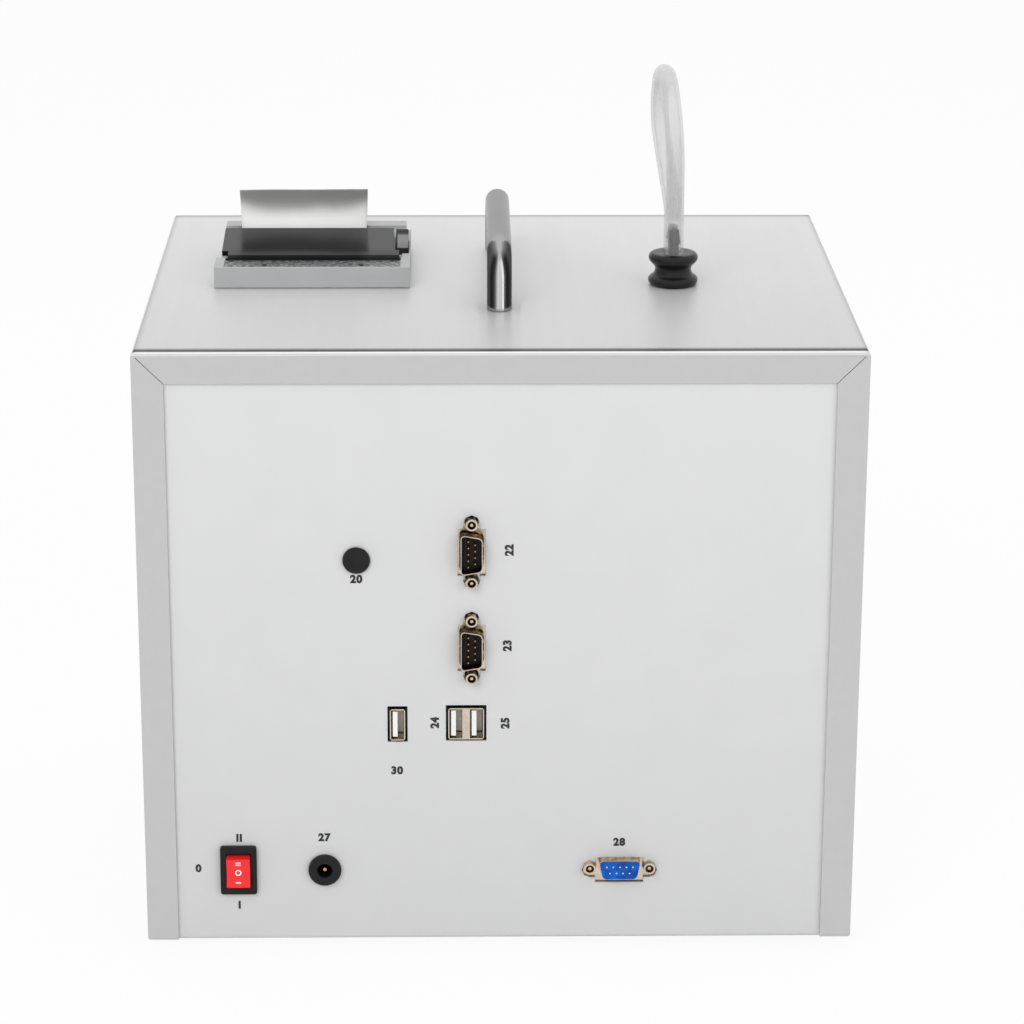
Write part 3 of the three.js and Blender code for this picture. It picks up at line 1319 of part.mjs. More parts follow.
function displayWindow() {
  const d = display;
  const [w, h] = [d.width / 2 - FIT, d.height / 2 - FIT];
  const inner = UPRIGHT_INNER - FIT;
  const [rimHalf, rimRise] = [w + d.rim, h + d.rim];
  return join(
    box(displayX - w, displayX + w, inner - FIT, UPRIGHT, d.z - h, d.z + h),
    box(displayX - rimHalf, displayX + rimHalf, inner - d.thickness, inner, d.z - rimRise, d.z + rimRise),
  );
}

function displayModule() {
  const d = display;
  const face = UPRIGHT_INNER - 2 * FIT - d.thickness;
  const [w, h] = [d.width / 2, d.height / 2];
  const back = face - d.module / 2;
  const [plateHalf, plateRise] = [w + d.rim, h + d.moduleRim];
  const [plate0, plate1] = [back - mainBoard.thickness, back + FIT];
  return join(
    box(displayX - w, displayX + w, back, face, d.z - h, d.z + h),
    box(displayX - plateHalf, displayX + plateHalf, plate0, plate1, d.z - plateRise, d.z + plateRise),
    box(displayX - w + d.moduleRim, displayX, face - d.module, back, d.z - h / 2, d.z + h / 2),
  );
}

function keypadSolid() {
  const k = keypad;
  const [w, h] = [k.width / 2, k.height / 2];
  const back = UPRIGHT + FIT;
  const face = back + k.thickness;
  const [keyW, keyH] = [k.keyWidth / 2, k.keyHeight / 2];
  const plate = roundedRectangle(displayX - w, displayX + w, k.z - h, k.z + h, k.corner);
  let pad = extruded('y', plate, back, face);
  for (let column = 0; column < k.columns; column += 1) {
    for (let row = 0; row < k.rows; row += 1) {
      const x = displayX + (column - (k.columns - 1) / 2) * k.pitchX;
      const z = k.z + (row - (k.rows - 1) / 2) * k.pitchZ;
      const key = roundedRectangle(x - keyW, x + keyW, z - keyH, z + keyH, k.keyCorner);
      pad = join(pad, extruded('y', key, face - k.thickness / 2, face + k.keyRise, 1));
    }
  }
  return pad;
}

add(analyzer, 'suction_tube', suctionTube(), 'steel');
add(analyzer, 'suction_boss', suctionBoss(), 'blackPlastic');
add(analyzer, 'display_window', displayWindow(), 'glass');
add(analyzer, 'display_module', displayModule(), 'board');
add(analyzer, 'keypad', keypadSolid(), 'greyPlastic');

// The origin lies under the middle of the whole part, on the standing surface
const bounds = new THREE.Box3().setFromObject(analyzer);
const centre = bounds.getCenter(new THREE.Vector3());
analyzer.position.set(-centre.x, -centre.y, -bounds.min.z);

export default analyzer;
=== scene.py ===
import json
import math
from collections import namedtuple

import bmesh
import bpy
from mathutils import Matrix, Vector


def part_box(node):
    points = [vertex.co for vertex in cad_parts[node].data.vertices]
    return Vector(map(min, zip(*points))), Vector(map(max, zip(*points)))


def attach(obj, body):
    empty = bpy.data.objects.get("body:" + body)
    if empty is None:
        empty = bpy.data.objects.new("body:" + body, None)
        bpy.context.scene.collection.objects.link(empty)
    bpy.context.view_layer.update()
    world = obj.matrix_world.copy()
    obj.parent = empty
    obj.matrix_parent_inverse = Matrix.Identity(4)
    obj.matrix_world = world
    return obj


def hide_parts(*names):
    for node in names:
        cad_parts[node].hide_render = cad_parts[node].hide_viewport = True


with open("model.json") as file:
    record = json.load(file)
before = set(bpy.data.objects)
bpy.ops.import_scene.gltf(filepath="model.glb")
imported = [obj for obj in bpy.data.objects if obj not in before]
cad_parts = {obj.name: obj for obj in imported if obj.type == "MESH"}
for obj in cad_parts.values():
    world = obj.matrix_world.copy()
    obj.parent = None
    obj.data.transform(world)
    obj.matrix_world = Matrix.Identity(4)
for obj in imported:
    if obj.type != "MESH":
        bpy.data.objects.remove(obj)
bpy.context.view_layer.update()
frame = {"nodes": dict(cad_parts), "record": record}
NODES = frame["nodes"]
scene = bpy.context.scene
MM = 0.001

# Sizes read from the frame, in metres
CASE_LOW, CASE_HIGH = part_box("cover_shell")
TRAY_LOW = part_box("base_tray")[0]
DECK = CASE_HIGH.z
REAR = CASE_LOW.y
FRONT = CASE_HIGH.y
UNDERSIDE = TRAY_LOW.z
PANEL = TRAY_LOW.y


def middle(node):
    low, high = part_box(node)
    return (low + high) / 2


# Camera, set at the photograph's viewing angle
LENS_PIXELS = 3486
FRAME_PIXELS = 1024
SENSOR = 36
YAW, PITCH, ROLL = math.radians(-1.16), math.radians(17.98), math.radians(-0.21)
CAMERA_FROM_REAR = Vector((-23, -1361, 634)) * MM


def make_camera():
    data = bpy.data.cameras.new("camera")
    data.sensor_width = SENSOR
    data.lens = LENS_PIXELS / FRAME_PIXELS * SENSOR
    camera = bpy.data.objects.new("camera", data)
    scene.collection.objects.link(camera)
    level = Vector((math.cos(YAW), math.sin(YAW), 0))
    ahead = Vector((-math.sin(YAW) * math.cos(PITCH), math.cos(YAW) * math.cos(PITCH), -math.sin(PITCH)))
    upright = level.cross(ahead)
    right = math.cos(ROLL) * level - math.sin(ROLL) * upright
    up = math.sin(ROLL) * level + math.cos(ROLL) * upright
    turn = Matrix((right, up, -ahead)).transposed().to_4x4()
    camera.matrix_world = Matrix.Translation(Vector((0, REAR, UNDERSIDE)) + CAMERA_FROM_REAR) @ turn
    scene.camera = camera


# Node building blocks

NOISE_ROUGHNESS = 0.55
RELIEF_DEPTH = 0.1 * MM
MOST_LEVEL = 1.6


def node_tree(name):
    """A new material, its node tree and its shader."""
    material = bpy.data.materials.new(name)
    material.use_nodes = True
    tree = material.node_tree
    return material, tree, tree.nodes["Principled BSDF"]


def grey(level):
    return (level, level, level)


def solid(color):
    """A colour with the alpha that a ramp needs."""
    return (*color, 1)


def shades(color, spread):
    return [solid(min(1, c * (1 + side * spread)) for c in color) for side in (-1, 1)]


def noise(tree, scale, stretch=(1, 1, 1), detail=4):
    coordinates = tree.nodes.new("ShaderNodeTexCoord")
    mapping = tree.nodes.new("ShaderNodeMapping")
    mapping.inputs["Scale"].default_value = stretch
    texture = tree.nodes.new("ShaderNodeTexNoise")
    texture.inputs["Scale"].default_value = scale
    texture.inputs["Detail"].default_value = detail
    texture.inputs["Roughness"].default_value = NOISE_ROUGHNESS
    tree.links.new(coordinates.outputs["Object"], mapping.inputs["Vector"])
    tree.links.new(mapping.outputs["Vector"], texture.inputs["Vector"])
    return texture.outputs["Fac"]


def ramp(tree, value, stops):
    node = tree.nodes.new("ShaderNodeValToRGB")
    elements = node.color_ramp.elements
    while len(elements) < len(stops):
        elements.new(0.5)
    for element, (place, color) in zip(elements, stops):
        element.position = place
        element.color = color
    tree.links.new(value, node.inputs["Fac"])
    return node.outputs["Color"]


def spread_to(tree, value, low, high, start=0.3, end=0.7):
    """Maps value from start and end to low and high, and no further."""
    node = tree.nodes.new("ShaderNodeMapRange")
    node.inputs["From Min"].default_value = start
    node.inputs["From Max"].default_value = end
    node.inputs["To Min"].default_value = low
    node.inputs["To Max"].default_value = high
    tree.links.new(value, node.inputs["Value"])
    return node.outputs["Result"]


def calculate(tree, operation, *values):
    node = tree.nodes.new("ShaderNodeMath")
    node.operation = operation
    for socket, value in zip(node.inputs, values):
        if isinstance(value, (int, float)):
            socket.default_value = value
        else:
            tree.links.new(value, socket)
    return node.outputs[0]


def product(tree, first, *others):
    for other in others:
        first = calculate(tree, "MULTIPLY", first, other)
    return first


def distance(tree, value, place):
    return calculate(tree, "ABSOLUTE", calculate(tree, "SUBTRACT", value, place))


def own_place(tree):
    """The surface's own x, y and z, in metres."""
    coordinates = tree.nodes.new("ShaderNodeTexCoord")
    split = tree.nodes.new("ShaderNodeSeparateXYZ")
    tree.links.new(coordinates.outputs["Object"], split.inputs["Vector"])
    return split.outputs


def grey_curve(tree, value, start, end, stops):
    """A level along value, through [millimetres, level] stops between start and end."""
    share = spread_to(tree, value, 0, 1, start * MM, end * MM)
    greys = [((place - start) / (end - start), solid(grey(level / MOST_LEVEL))) for place, level in stops]
    return product(tree, ramp(tree, share, greys), MOST_LEVEL)


def shade_by(tree, factor):
    """Multiplies the material's colour by a factor."""
    color = tree.nodes["Principled BSDF"].inputs["Base Color"]
    node = tree.nodes.new("ShaderNodeVectorMath")
    node.operation = "SCALE"
    tree.links.new(color.links[0].from_socket, node.inputs["Vector"])
    tree.links.new(factor, node.inputs["Scale"])
    tree.links.new(node.outputs["Vector"], color)


def surface(name, color, rough, metal=0.0, spread=0.04, scale=60, stretch=(1, 1, 1), grain=900, bump=0.08,
            bump_stretch=(1, 1, 1), sockets=()):
    """A material whose colour and roughness drift a little and whose skin has a fine relief."""
    material, tree, shader = node_tree(name)
    drift = noise(tree, scale, stretch)
    low, high = shades(color, spread)
    tree.links.new(ramp(tree, drift, [(0.3, low), (0.7, high)]), shader.inputs["Base Color"])
    fine = noise(tree, grain, bump_stretch, detail=3)
    tree.links.new(spread_to(tree, fine, rough * 0.88, rough * 1.12), shader.inputs["Roughness"])
    relief = tree.nodes.new("ShaderNodeBump")
    relief.inputs["Strength"].default_value = bump
    relief.inputs["Distance"].default_value = RELIEF_DEPTH
    tree.links.new(fine, relief.inputs["Height"])
    tree.links.new(relief.outputs["Normal"], shader.inputs["Normal"])
    shader.inputs["Metallic"].default_value = metal
    for socket, value in sockets:
        shader.inputs[socket].default_value = value
    return material


# Materials that change from place to place

TOP_SKIN, REAR_SKIN = 0.4 * MM, 0.3 * MM
# Painted shade: how dark the connector-side flange face is against the deck.
PAINTED_FLANGE_SHADE_LEVEL = 0.86


def sheet_material():
    """Brushed sheet steel under a thin clear coat, with painted reflections and painted shade: a bright line
    and a dark band along the bend at the connector-side edge, darker bands along the deck's operator-side and
    side edges, a deck that grows lighter away from the connector side, and a darker flange face.
    """
    material = surface("brushed_sheet_painted_shade", grey(0.62), 0.38, metal=0.24, spread=0.012, scale=6,
                       stretch=(30, 1, 30), grain=60, bump_stretch=(60, 1.2, 60), bump=0.03,
                       sockets=(("Specular IOR Level", 0.3),))
    tree = material.node_tree
    x, y, z = own_place(tree)
    under = calculate(tree, "SUBTRACT", DECK, z)
    behind = calculate(tree, "SUBTRACT", y, REAR)
    ahead = calculate(tree, "SUBTRACT", FRONT, y)
    inward = calculate(tree, "SUBTRACT", CASE_HIGH.x, calculate(tree, "ABSOLUTE", x))
    on_top = calculate(tree, "LESS_THAN", under, TOP_SKIN)
    on_rear = calculate(tree, "LESS_THAN", behind, REAR_SKIN)
    # Painted reflection along the connector-side bend: a bright line on its crest and a dark band on the deck
    # a few millimetres in.
    painted_fold_lines = grey_curve(tree, calculate(tree, "SUBTRACT", behind, under), -2, 10, [
        (-1.1, 1), (-0.5, 1.5), (1.2, 1.5), (2.4, 0.05), (4.4, 0.04), (6.0, 0.45), (7.4, 0.88), (9.4, 1),
    ])
    # Painted shade: the deck darkens towards its operator-side edge.
    far = grey_curve(tree, ahead, 0, 10, [(0, 0.18), (1.6, 0.25), (3.2, 0.6), (5.4, 0.84), (9, 1)])
    # Painted shade: the deck darkens towards its side edges.
    side = grey_curve(tree, inward, 0, 4, [(0, 0.66), (0.8, 0.62), (1.4, 0.76), (2, 0.88), (3.4, 1)])
    # Painted shade: the deck grows lighter from the connector side to the operator side.
    slope = spread_to(tree, behind, 0.98, 1.16, 0, FRONT - REAR)

    def only(mask, factor):
        """The factor where the mask is 1, and 1 elsewhere."""
        rest = calculate(tree, "SUBTRACT", 1, mask)
        return calculate(tree, "ADD", product(tree, mask, factor), rest)

    # Painted shade: the connector-side flange face is darker than the deck and also carries the painted bend
    # lines.
    painted_flange_shade = only(on_rear, product(tree, painted_fold_lines, PAINTED_FLANGE_SHADE_LEVEL))
    shade_by(tree, product(tree, only(on_top, product(tree, far, side, slope, painted_fold_lines)), painted_flange_shade))
    return material


def panel_material():
    """Matt coated plate with painted shade: a little paler at its top and darker towards the bottom."""
    material = surface("panel_enamel", (0.675, 0.677, 0.68), 0.5, spread=0.012, scale=45, grain=420)
    tree = material.node_tree
    shade_by(tree, spread_to(tree, own_place(tree)[2], 0.915, 1.015, UNDERSIDE, DECK))
    return material


PAPER_LOW, PAPER_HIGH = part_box("paper_strip")
PAPER_MIDDLE = (PAPER_LOW.x + PAPER_HIGH.x) / 2
PAPER_HALF = (PAPER_HIGH.x - PAPER_LOW.x) / 2
# How far the edge of the painted shade on the paper rises at its corners.
PAINTED_SHADE_CORNER_LIFT = 3.2 * MM


def paper_material():
    """Thermal paper, white where it leaves the printer, with painted shade that greys its upper part along a
    wavy edge which rises towards the corners.
    """
    material = surface("thermal_paper_painted_shade", (0.84, 0.84, 0.83), 0.5, spread=0.03, scale=40, grain=2600, bump=0.06)
    tree = material.node_tree
    x, _, z = own_place(tree)
    painted_shade_wobble = spread_to(tree, noise(tree, 30, (1, 1, 0.4)), -1.1 * MM, 1.1 * MM)
    across = calculate(tree, "DIVIDE", distance(tree, x, PAPER_MIDDLE), PAPER_HALF)
    lift = product(tree, calculate(tree, "POWER", across, 4), -PAINTED_SHADE_CORNER_LIFT)
    height = calculate(tree, "ADD", calculate(tree, "SUBTRACT", z, DECK), calculate(tree, "ADD", painted_shade_wobble, lift))
    # Painted shade: the paper greys over its upper part.
    shade_by(tree, grey_curve(tree, height, 8, 34, [
        (16.5, 1.16), (18.6, 1.06), (20.6, 0.8), (22.6, 0.52), (24.6, 0.39), (30, 0.36),
    ]))
    return material


def lever_material():
    """Black plastic with a lighter grey patch on the thumb face."""
    material = surface("lever_plastic", (0.012, 0.012, 0.013), 0.45, spread=0.2, scale=150, grain=2000,
                       bump=0.15, sockets=(("Specular IOR Level", 0.15),))
    tree = material.node_tree
    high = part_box("release_lever")[1]
    x, _, z = own_place(tree)
    up = spread_to(tree, z, 0, 1, high.z - 4.6 * MM, high.z - 4.2 * MM)
    down = spread_to(tree, z, 1, 0, high.z - 1.2 * MM, high.z - 0.8 * MM)
    right = spread_to(tree, x, 0, 1, high.x - 5.0 * MM, high.x - 4.6 * MM)
    patch = product(tree, up, down, right)
    thumb_face_grey = ramp(tree, patch, [(0.0, (0.007, 0.007, 0.008, 1)), (1.0, solid(grey(0.22)))])
    tree.links.new(thumb_face_grey, tree.nodes["Principled BSDF"].inputs["Base Color"])
    return material


NIPPLE_MIDDLE = DECK + 19.5 * MM


def silicone_material():
    """Milky hose, clearer where it is stretched over the nipples, and thicker to the eye at its edges."""
    material = surface("silicone", grey(0.71), 0.25, spread=0.05, scale=60, stretch=(1, 1, 0.3), grain=300,
                       bump=0.02)
    tree = material.node_tree
    edge = tree.nodes.new("ShaderNodeLayerWeight")
    edge.inputs["Blend"].default_value = 0.4
    rim = spread_to(tree, edge.outputs["Facing"], 0, 0.4, 0.2, 1)
    milk = spread_to(tree, distance(tree, own_place(tree)[2], NIPPLE_MIDDLE), 0.1, 0.3, 6 * MM, 12 * MM)
    tree.links.new(calculate(tree, "ADD", milk, rim), tree.nodes["Principled BSDF"].inputs["Alpha"])
    return material


def lid_material():
    """Glossy black plastic, duller in front of the paper: painted shade in its reflection, where the paper's
    dark side would show.
    """
    material = surface("lid_plastic", (0.004, 0.004, 0.005), 0.17, spread=0.12, scale=90, grain=1600,
                       bump=0.03)
    tree = material.node_tree
    across = distance(tree, own_place(tree)[0], PAPER_MIDDLE)
    # Painted shade: less shine across the middle, in front of the paper.
    gloss_with_painted_reflection = spread_to(tree, across, 0.13, 0.28, PAPER_HALF - 3 * MM, PAPER_HALF + 2 * MM)
    tree.links.new(gloss_with_painted_reflection, tree.nodes["Principled BSDF"].inputs["Specular IOR Level"])
    return material


def flecked(name, scale, stretch, stops, metal, rough_scale, rough_detail, rough):
    """Metal with dark and bright flecks."""
    material, tree, shader = node_tree(name)
    fleck = noise(tree, scale, stretch, detail=2)
    tree.links.new(ramp(tree, fleck, stops), shader.inputs["Base Color"])
    fine = noise(tree, rough_scale, detail=rough_detail)
    tree.links.new(spread_to(tree, fine, *rough), shader.inputs["Roughness"])
    shader.inputs["Metallic"].default_value = metal
    return material


def mottled_material():
    """The stamped strip in the printer's recess: flecked metal darkened with painted shade of the recess
    under the lid.
    """
    levels = ((0.0, 0.01), (0.42, 0.03), (0.5, 0.12), (0.6, 0.42), (1.0, 0.5))
    stops = [(place, solid(grey(level))) for place, level in levels]
    return flecked("mottled_metal", 900, (0.6, 1, 1), stops, 0.9, 1200, 4, (0.3, 0.44))


def nickel_in_painted_shade():
    """Painted shade: a dark brown copy of the nickel for faces that turn away from the light, with painted
    gold glints.
    """
    stops = [
        (0.0, (0.018, 0.009, 0.005, 1)), (0.46, (0.035, 0.018, 0.009, 1)), (0.56, (0.16, 0.09, 0.03, 1)),
        (0.64, (0.58, 0.47, 0.30, 1)), (1.0, (0.8, 0.7, 0.52, 1)),
    ]
    return flecked("nickel_in_painted_shade", 520, (1, 1, 1), stops, 1, 1400, 2, (0.28, 0.42))


def window_material():
    """Tinted clear acrylic."""
    material, tree, shader = node_tree("window_acrylic")
    low, high = shades((0.55, 0.6, 0.6), 0.04)
    tree.links.new(ramp(tree, noise(tree, 90), [(0.3, low), (0.7, high)]), shader.inputs["Base Color"])
    shader.inputs["Roughness"].default_value = 0.06
    shader.inputs["Transmission Weight"].default_value = 0.9
    shader.inputs["IOR"].default_value = 1.49
    return material


DULL = (("Specular IOR Level", 0.22),)
MATERIALS = {
    "enamel": sheet_material(),
    "panel": panel_material(),
    "paper": paper_material(),
    "lever": lever_material(),
    "silicone": silicone_material(),
    "gloss_black": lid_material(),
    "mottled": mottled_material(),
    "nickel_in_painted_shade": nickel_in_painted_shade(),
    "window": window_material(),
    "polished_steel": surface(
        "polished_steel", grey(0.45), 0.2, metal=1, spread=0.04, scale=50, grain=300, bump_stretch=(8, 8, 1),
        bump=0.03, sockets=(("Specular Tint", solid(grey(0.6))),)),
    "zinc": surface(
        "zinc_plate", (0.62, 0.63, 0.64), 0.36, metal=1, spread=0.08, scale=300, grain=1500, bump=0.1),
    "nickel": surface(
        "nickel_plate", (0.64, 0.55, 0.45), 0.26, metal=1, spread=0.12, scale=260, grain=1200, bump=0.1),
    # A darker, patchy copy of the nickel for the level port's walls: painted shade.
    "patchy_nickel_in_painted_shade": surface(
        "patchy_nickel_in_painted_shade", (0.5, 0.38, 0.26), 0.3, metal=1, spread=0.75, scale=420, grain=1200, bump=0.2),
    "gold": surface(
        "gold_plate", (0.55, 0.33, 0.16), 0.25, metal=1, spread=0.1, scale=400, grain=1500, bump=0.05),
    "tin": surface(
        "tinned_pins", (0.80, 0.80, 0.78), 0.3, metal=1, spread=0.1, scale=400, grain=1500, bump=0.05),
    "rubber": surface(
        "black_rubber", (0.008, 0.008, 0.009), 0.3, spread=0.25, scale=160, grain=1400, bump=0.1,
        sockets=(("Specular IOR Level", 0.3),)),
    "black_plastic": surface(
        "black_plastic", (0.009, 0.009, 0.010), 0.38, spread=0.3, scale=200, grain=2200, bump=0.1,
        sockets=DULL),
    "dark_plastic": surface(
        "dark_plastic", (0.02, 0.021, 0.022), 0.4, spread=0.2, scale=200, grain=2200, bump=0.12),
    "insulator": surface(
        "brown_insulator", (0.006, 0.003, 0.002), 0.4, spread=0.4, scale=300, grain=2200, bump=0.1,
        sockets=DULL),
    "grey_plastic": surface(
        "grey_plastic", (0.42, 0.425, 0.43), 0.45, spread=0.03, scale=90, grain=1800, bump=0.12),
    "white_plastic": surface(
        "white_plastic", (0.86, 0.86, 0.84), 0.4, spread=0.02, scale=90, grain=1500, bump=0.06),
    "red_plastic": surface(
        "red_plastic", (0.88, 0.012, 0.015), 0.22, spread=0.06, scale=120, grain=1200, bump=0.04),
    "blue_plastic": surface(
        "blue_plastic", (0.0, 0.085, 0.42), 0.4, spread=0.6, scale=260, grain=1800, bump=0.1, sockets=DULL),
    "board": surface("board_lacquer", (0.02, 0.16, 0.05), 0.35, spread=0.2, scale=240, bump=0.15),
    "ink": surface("black_ink", (0.012, 0.012, 0.013), 0.5, spread=0.3, scale=500, grain=2500, bump=0.05),
    "mark": surface("white_mark", (0.95, 0.93, 0.92), 0.4, spread=0.03, scale=500, grain=2500, bump=0.05),
    "lcd": surface("lcd_glass", (0.16, 0.24, 0.10), 0.25, spread=0.05, scale=60, bump=0.02),
}


# Building blocks for shapes. Outlines, profiles and heights are in millimetres, places in metres.

BEVEL_SEGMENTS = 2
FLAT_WEIGHT = 90
WELD_GAP = 1e-6
POINT_RADIUS = 1e-6
ORIGIN = Matrix.Identity(4)


def metres(*values):
    return Vector([value * MM for value in values])


def shift(x, y, z):
    return Matrix.Translation(metres(x, y, z))


def spin(degrees, axis="Z"):
    return Matrix.Rotation(math.radians(degrees), 4, axis)


def soften(piece, width, angle=35):
    bevel = piece.modifiers.new("edges", "BEVEL")
    bevel.width = width * MM
    bevel.segments = BEVEL_SEGMENTS
    bevel.limit_method = "ANGLE"
    bevel.angle_limit = math.radians(angle)
    bevel.use_clamp_overlap = True
    even = piece.modifiers.new("even", "WEIGHTED_NORMAL")
    even.mode = "FACE_AREA"
    even.weight = FLAT_WEIGHT


def dress(node, material, bevel, angle):
    """Gives a CAD node its material, soft edges and even shading on its flat faces."""
    piece = NODES[node]
    piece.data.materials.clear()
    piece.data.materials.append(MATERIALS[material])
    for polygon in piece.data.polygons:
        polygon.use_smooth = True
    weld = piece.modifiers.new("weld", "WELD")
    weld.merge_threshold = WELD_GAP
    if bevel:
        soften(piece, bevel, angle)
    else:
        split = piece.modifiers.new("sharp", "EDGE_SPLIT")
        split.split_angle = math.radians(angle)


def mesh_from(name, build):
    mesh = bpy.data.meshes.new(name)
    shape = bmesh.new()
    build(shape)
    bmesh.ops.remove_doubles(shape, verts=shape.verts, dist=1e-7)
    bmesh.ops.recalc_face_normals(shape, faces=shape.faces)
    shape.to_mesh(mesh)
    shape.free()
    return mesh


def settle(piece, body, replaces=()):
    """Puts a piece in the scene, on its body and in the place of the nodes it replaces."""
    scene.collection.objects.link(piece)
    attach(piece, body)
    if replaces:
        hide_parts(*replaces)
    return piece


def link(name, build, material, body="case", replaces=(), bevel=0.0):
    piece = bpy.data.objects.new(name, mesh_from(name, build))
    piece.data.materials.append(MATERIALS[material])
    for polygon in piece.data.polygons:
        polygon.use_smooth = True
    if bevel:
        soften(piece, bevel)
    return settle(piece, body, replaces)


def tube_curve(name, points, diameter, material, resolution, node, thickness=0):
    """A round bar on the case along points, in the place of a node. With a thickness it is a hose."""
    data = bpy.data.curves.new(name, "CURVE")
    data.dimensions = "3D"
    data.bevel_depth = diameter / 2 * MM
    data.bevel_resolution = resolution
    data.use_fill_caps = not thickness
    spline = data.splines.new("POLY")
    spline.points.add(len(points) - 1)
    for target, point in zip(spline.points, points):
        target.co = (*point, 1)
    spline.use_smooth = True
    data.materials.append(MATERIALS[material])
    piece = bpy.data.objects.new(name, data)
    if thickness:
        wall = piece.modifiers.new("wall", "SOLIDIFY")
        wall.thickness = thickness * MM
        wall.offset = -1
    return settle(piece, "case", [node])


def turned(shape, profile, place=ORIGIN, segments=64):
    """Turns [radius, height] points round the local z axis. A profile that closes on itself makes a ring."""
    rings = []
    for radius, height in profile:
        count = 1 if radius < POINT_RADIUS else segments
        spots = [(*polar(radius if count > 1 else 0, 360 * i / count), height) for i in range(count)]
        rings.append([shape.verts.new(place @ metres(*spot)) for spot in spots])
    for low, high in zip(rings, rings[1:]):
        if len(low) == len(high) == 1:
            continue
        for i in range(segments):
            j = (i + 1) % segments
            if len(low) == 1:
                shape.faces.new((low[0], high[j], high[i]))
            elif len(high) == 1:
                shape.faces.new((low[i], low[j], high[0]))
            else:
                shape.faces.new((low[i], low[j], high[j], high[i]))


def corners(shape, outline, height, place):
    return [shape.verts.new(place @ metres(x, y, height)) for x, y in outline]


def prism(shape, outline, low, high, place=ORIGIN):
    """Extrudes an [x, y] outline from low to high along the local z axis."""
    bottom = corners(shape, outline, low, place)
    top = corners(shape, outline, high, place)
    shape.faces.new(bottom[::-1])
    shape.faces.new(top)
    for i in range(len(outline)):
        j = (i + 1) % len(outline)
        shape.faces.new((bottom[i], bottom[j], top[j], top[i]))


def sleeve(shape, outside, inside, low, high, place=ORIGIN):
    """A prism with a hole: two outlines of one length, joined at both ends."""
    loops = [corners(shape, outline, height, place)
             for outline, height in ((outside, low), (outside, high), (inside, high), (inside, low))]
    for a, b in zip(loops, loops[1:] + loops[:1]):
        for i in range(len(a)):
            j = (i + 1) % len(a)
            shape.faces.new((a[i], a[j], b[j], b[i]))


def polar(radius, degrees):
    turn = math.radians(degrees)
    return radius * math.cos(turn), radius * math.sin(turn)


def arc(centre, radius, start, end, steps):
    """Points from one angle to another round a centre."""
    for i in range(steps + 1):
        across, up = polar(radius, start + (end - start) * i / steps)
        yield centre[0] + across, centre[1] + up


def circle(radius, count):
    return [polar(radius, 360 * i / count) for i in range(count)]


def hexagon(flats, count):
    """A hexagon with extra points on its sides, so that it pairs with a circle of as many."""
    return [polar(flats / 2 / math.cos(math.radians((360 * i / count + 30) % 60 - 30)), 360 * i / count)
            for i in range(count)]


def rounded(width, height, radius, steps=5):
    points = []
    for x, y, start in ((1, -1, -90), (1, 1, 0), (-1, 1, 90), (-1, -1, 180)):
        centre = (x * (width / 2 - radius), y * (height / 2 - radius))
        points += arc(centre, radius, start, start + 90, steps)
    return points


def fillet(points, radius, steps=4):
    """Rounds every corner of an outline."""
    line = []
    for i, point in enumerate(points):
        corner, before, after = Vector(point), Vector(points[i - 1]), Vector(points[(i + 1) % len(points)])
        start = corner + (before - corner).normalized() * radius
        end = corner + (after - corner).normalized() * radius
        for k in range(steps + 1):
            t = k / steps
            line.append(tuple(start * (1 - t) ** 2 + corner * 2 * t * (1 - t) + end * t ** 2))
    return line


def catmull(points, steps):
    """A smooth line of many points through a few."""
    ends = [points[0] * 2 - points[1], *points, points[-1] * 2 - points[-2]]
    line = []
    for a, b, c, d in zip(ends, ends[1:], ends[2:], ends[3:]):
        ts = [0]
        for p, q in ((a, b), (b, c), (c, d)):
            ts.append(ts[-1] + math.sqrt((q - p).length))
        for i in range(steps):
            t = ts[1] + (ts[2] - ts[1]) * i / steps
            ab = (a * (ts[1] - t) + b * (t - ts[0])) / (ts[1] - ts[0])
            bc = (b * (ts[2] - t) + c * (t - ts[1])) / (ts[2] - ts[1])
            cd = (c * (ts[3] - t) + d * (t - ts[2])) / (ts[3] - ts[2])
            abc = (ab * (ts[2] - t) + bc * (t - ts[0])) / (ts[2] - ts[0])
            bcd = (bc * (ts[3] - t) + cd * (t - ts[1])) / (ts[3] - ts[1])
            line.append((abc * (ts[2] - t) + bcd * (t - ts[1])) / (ts[2] - ts[1]))
    return [*line, points[-1]]


def smooth_profile(points, steps):
    line = catmull([Vector((radius, height, 0)) for radius, height in points], steps)
    return [(max(0.0, point.x), point.y) for point in line]


REAR_TURN = Matrix(((1, 0, 0, 0), (0, 0, -1, 0), (0, 1, 0, 0), (0, 0, 0, 1)))
FRONT_TURN = Matrix(((-1, 0, 0, 0), (0, 0, 1, 0), (0, 1, 0, 0), (0, 0, 0, 1)))


def on_panel(x, y, turn=0):
    """Local x across, y up and z outward on the connector plate. x and y are in millimetres."""
    return Matrix.Translation((x * MM, PANEL, UNDERSIDE + y * MM)) @ REAR_TURN @ spin(turn)


def on_front(point, out):
    """The same on the operator side, where out is a place along y, in metres."""
    return Matrix.Translation((point.x, out, point.z)) @ FRONT_TURN


def on_deck(x, y, z):
    """A point from millimetres across, back from the connector side and above the deck."""
    return Vector((x * MM, REAR + y * MM, DECK + z * MM))


# Every CAD node gets a material. The pieces below replace some of them.

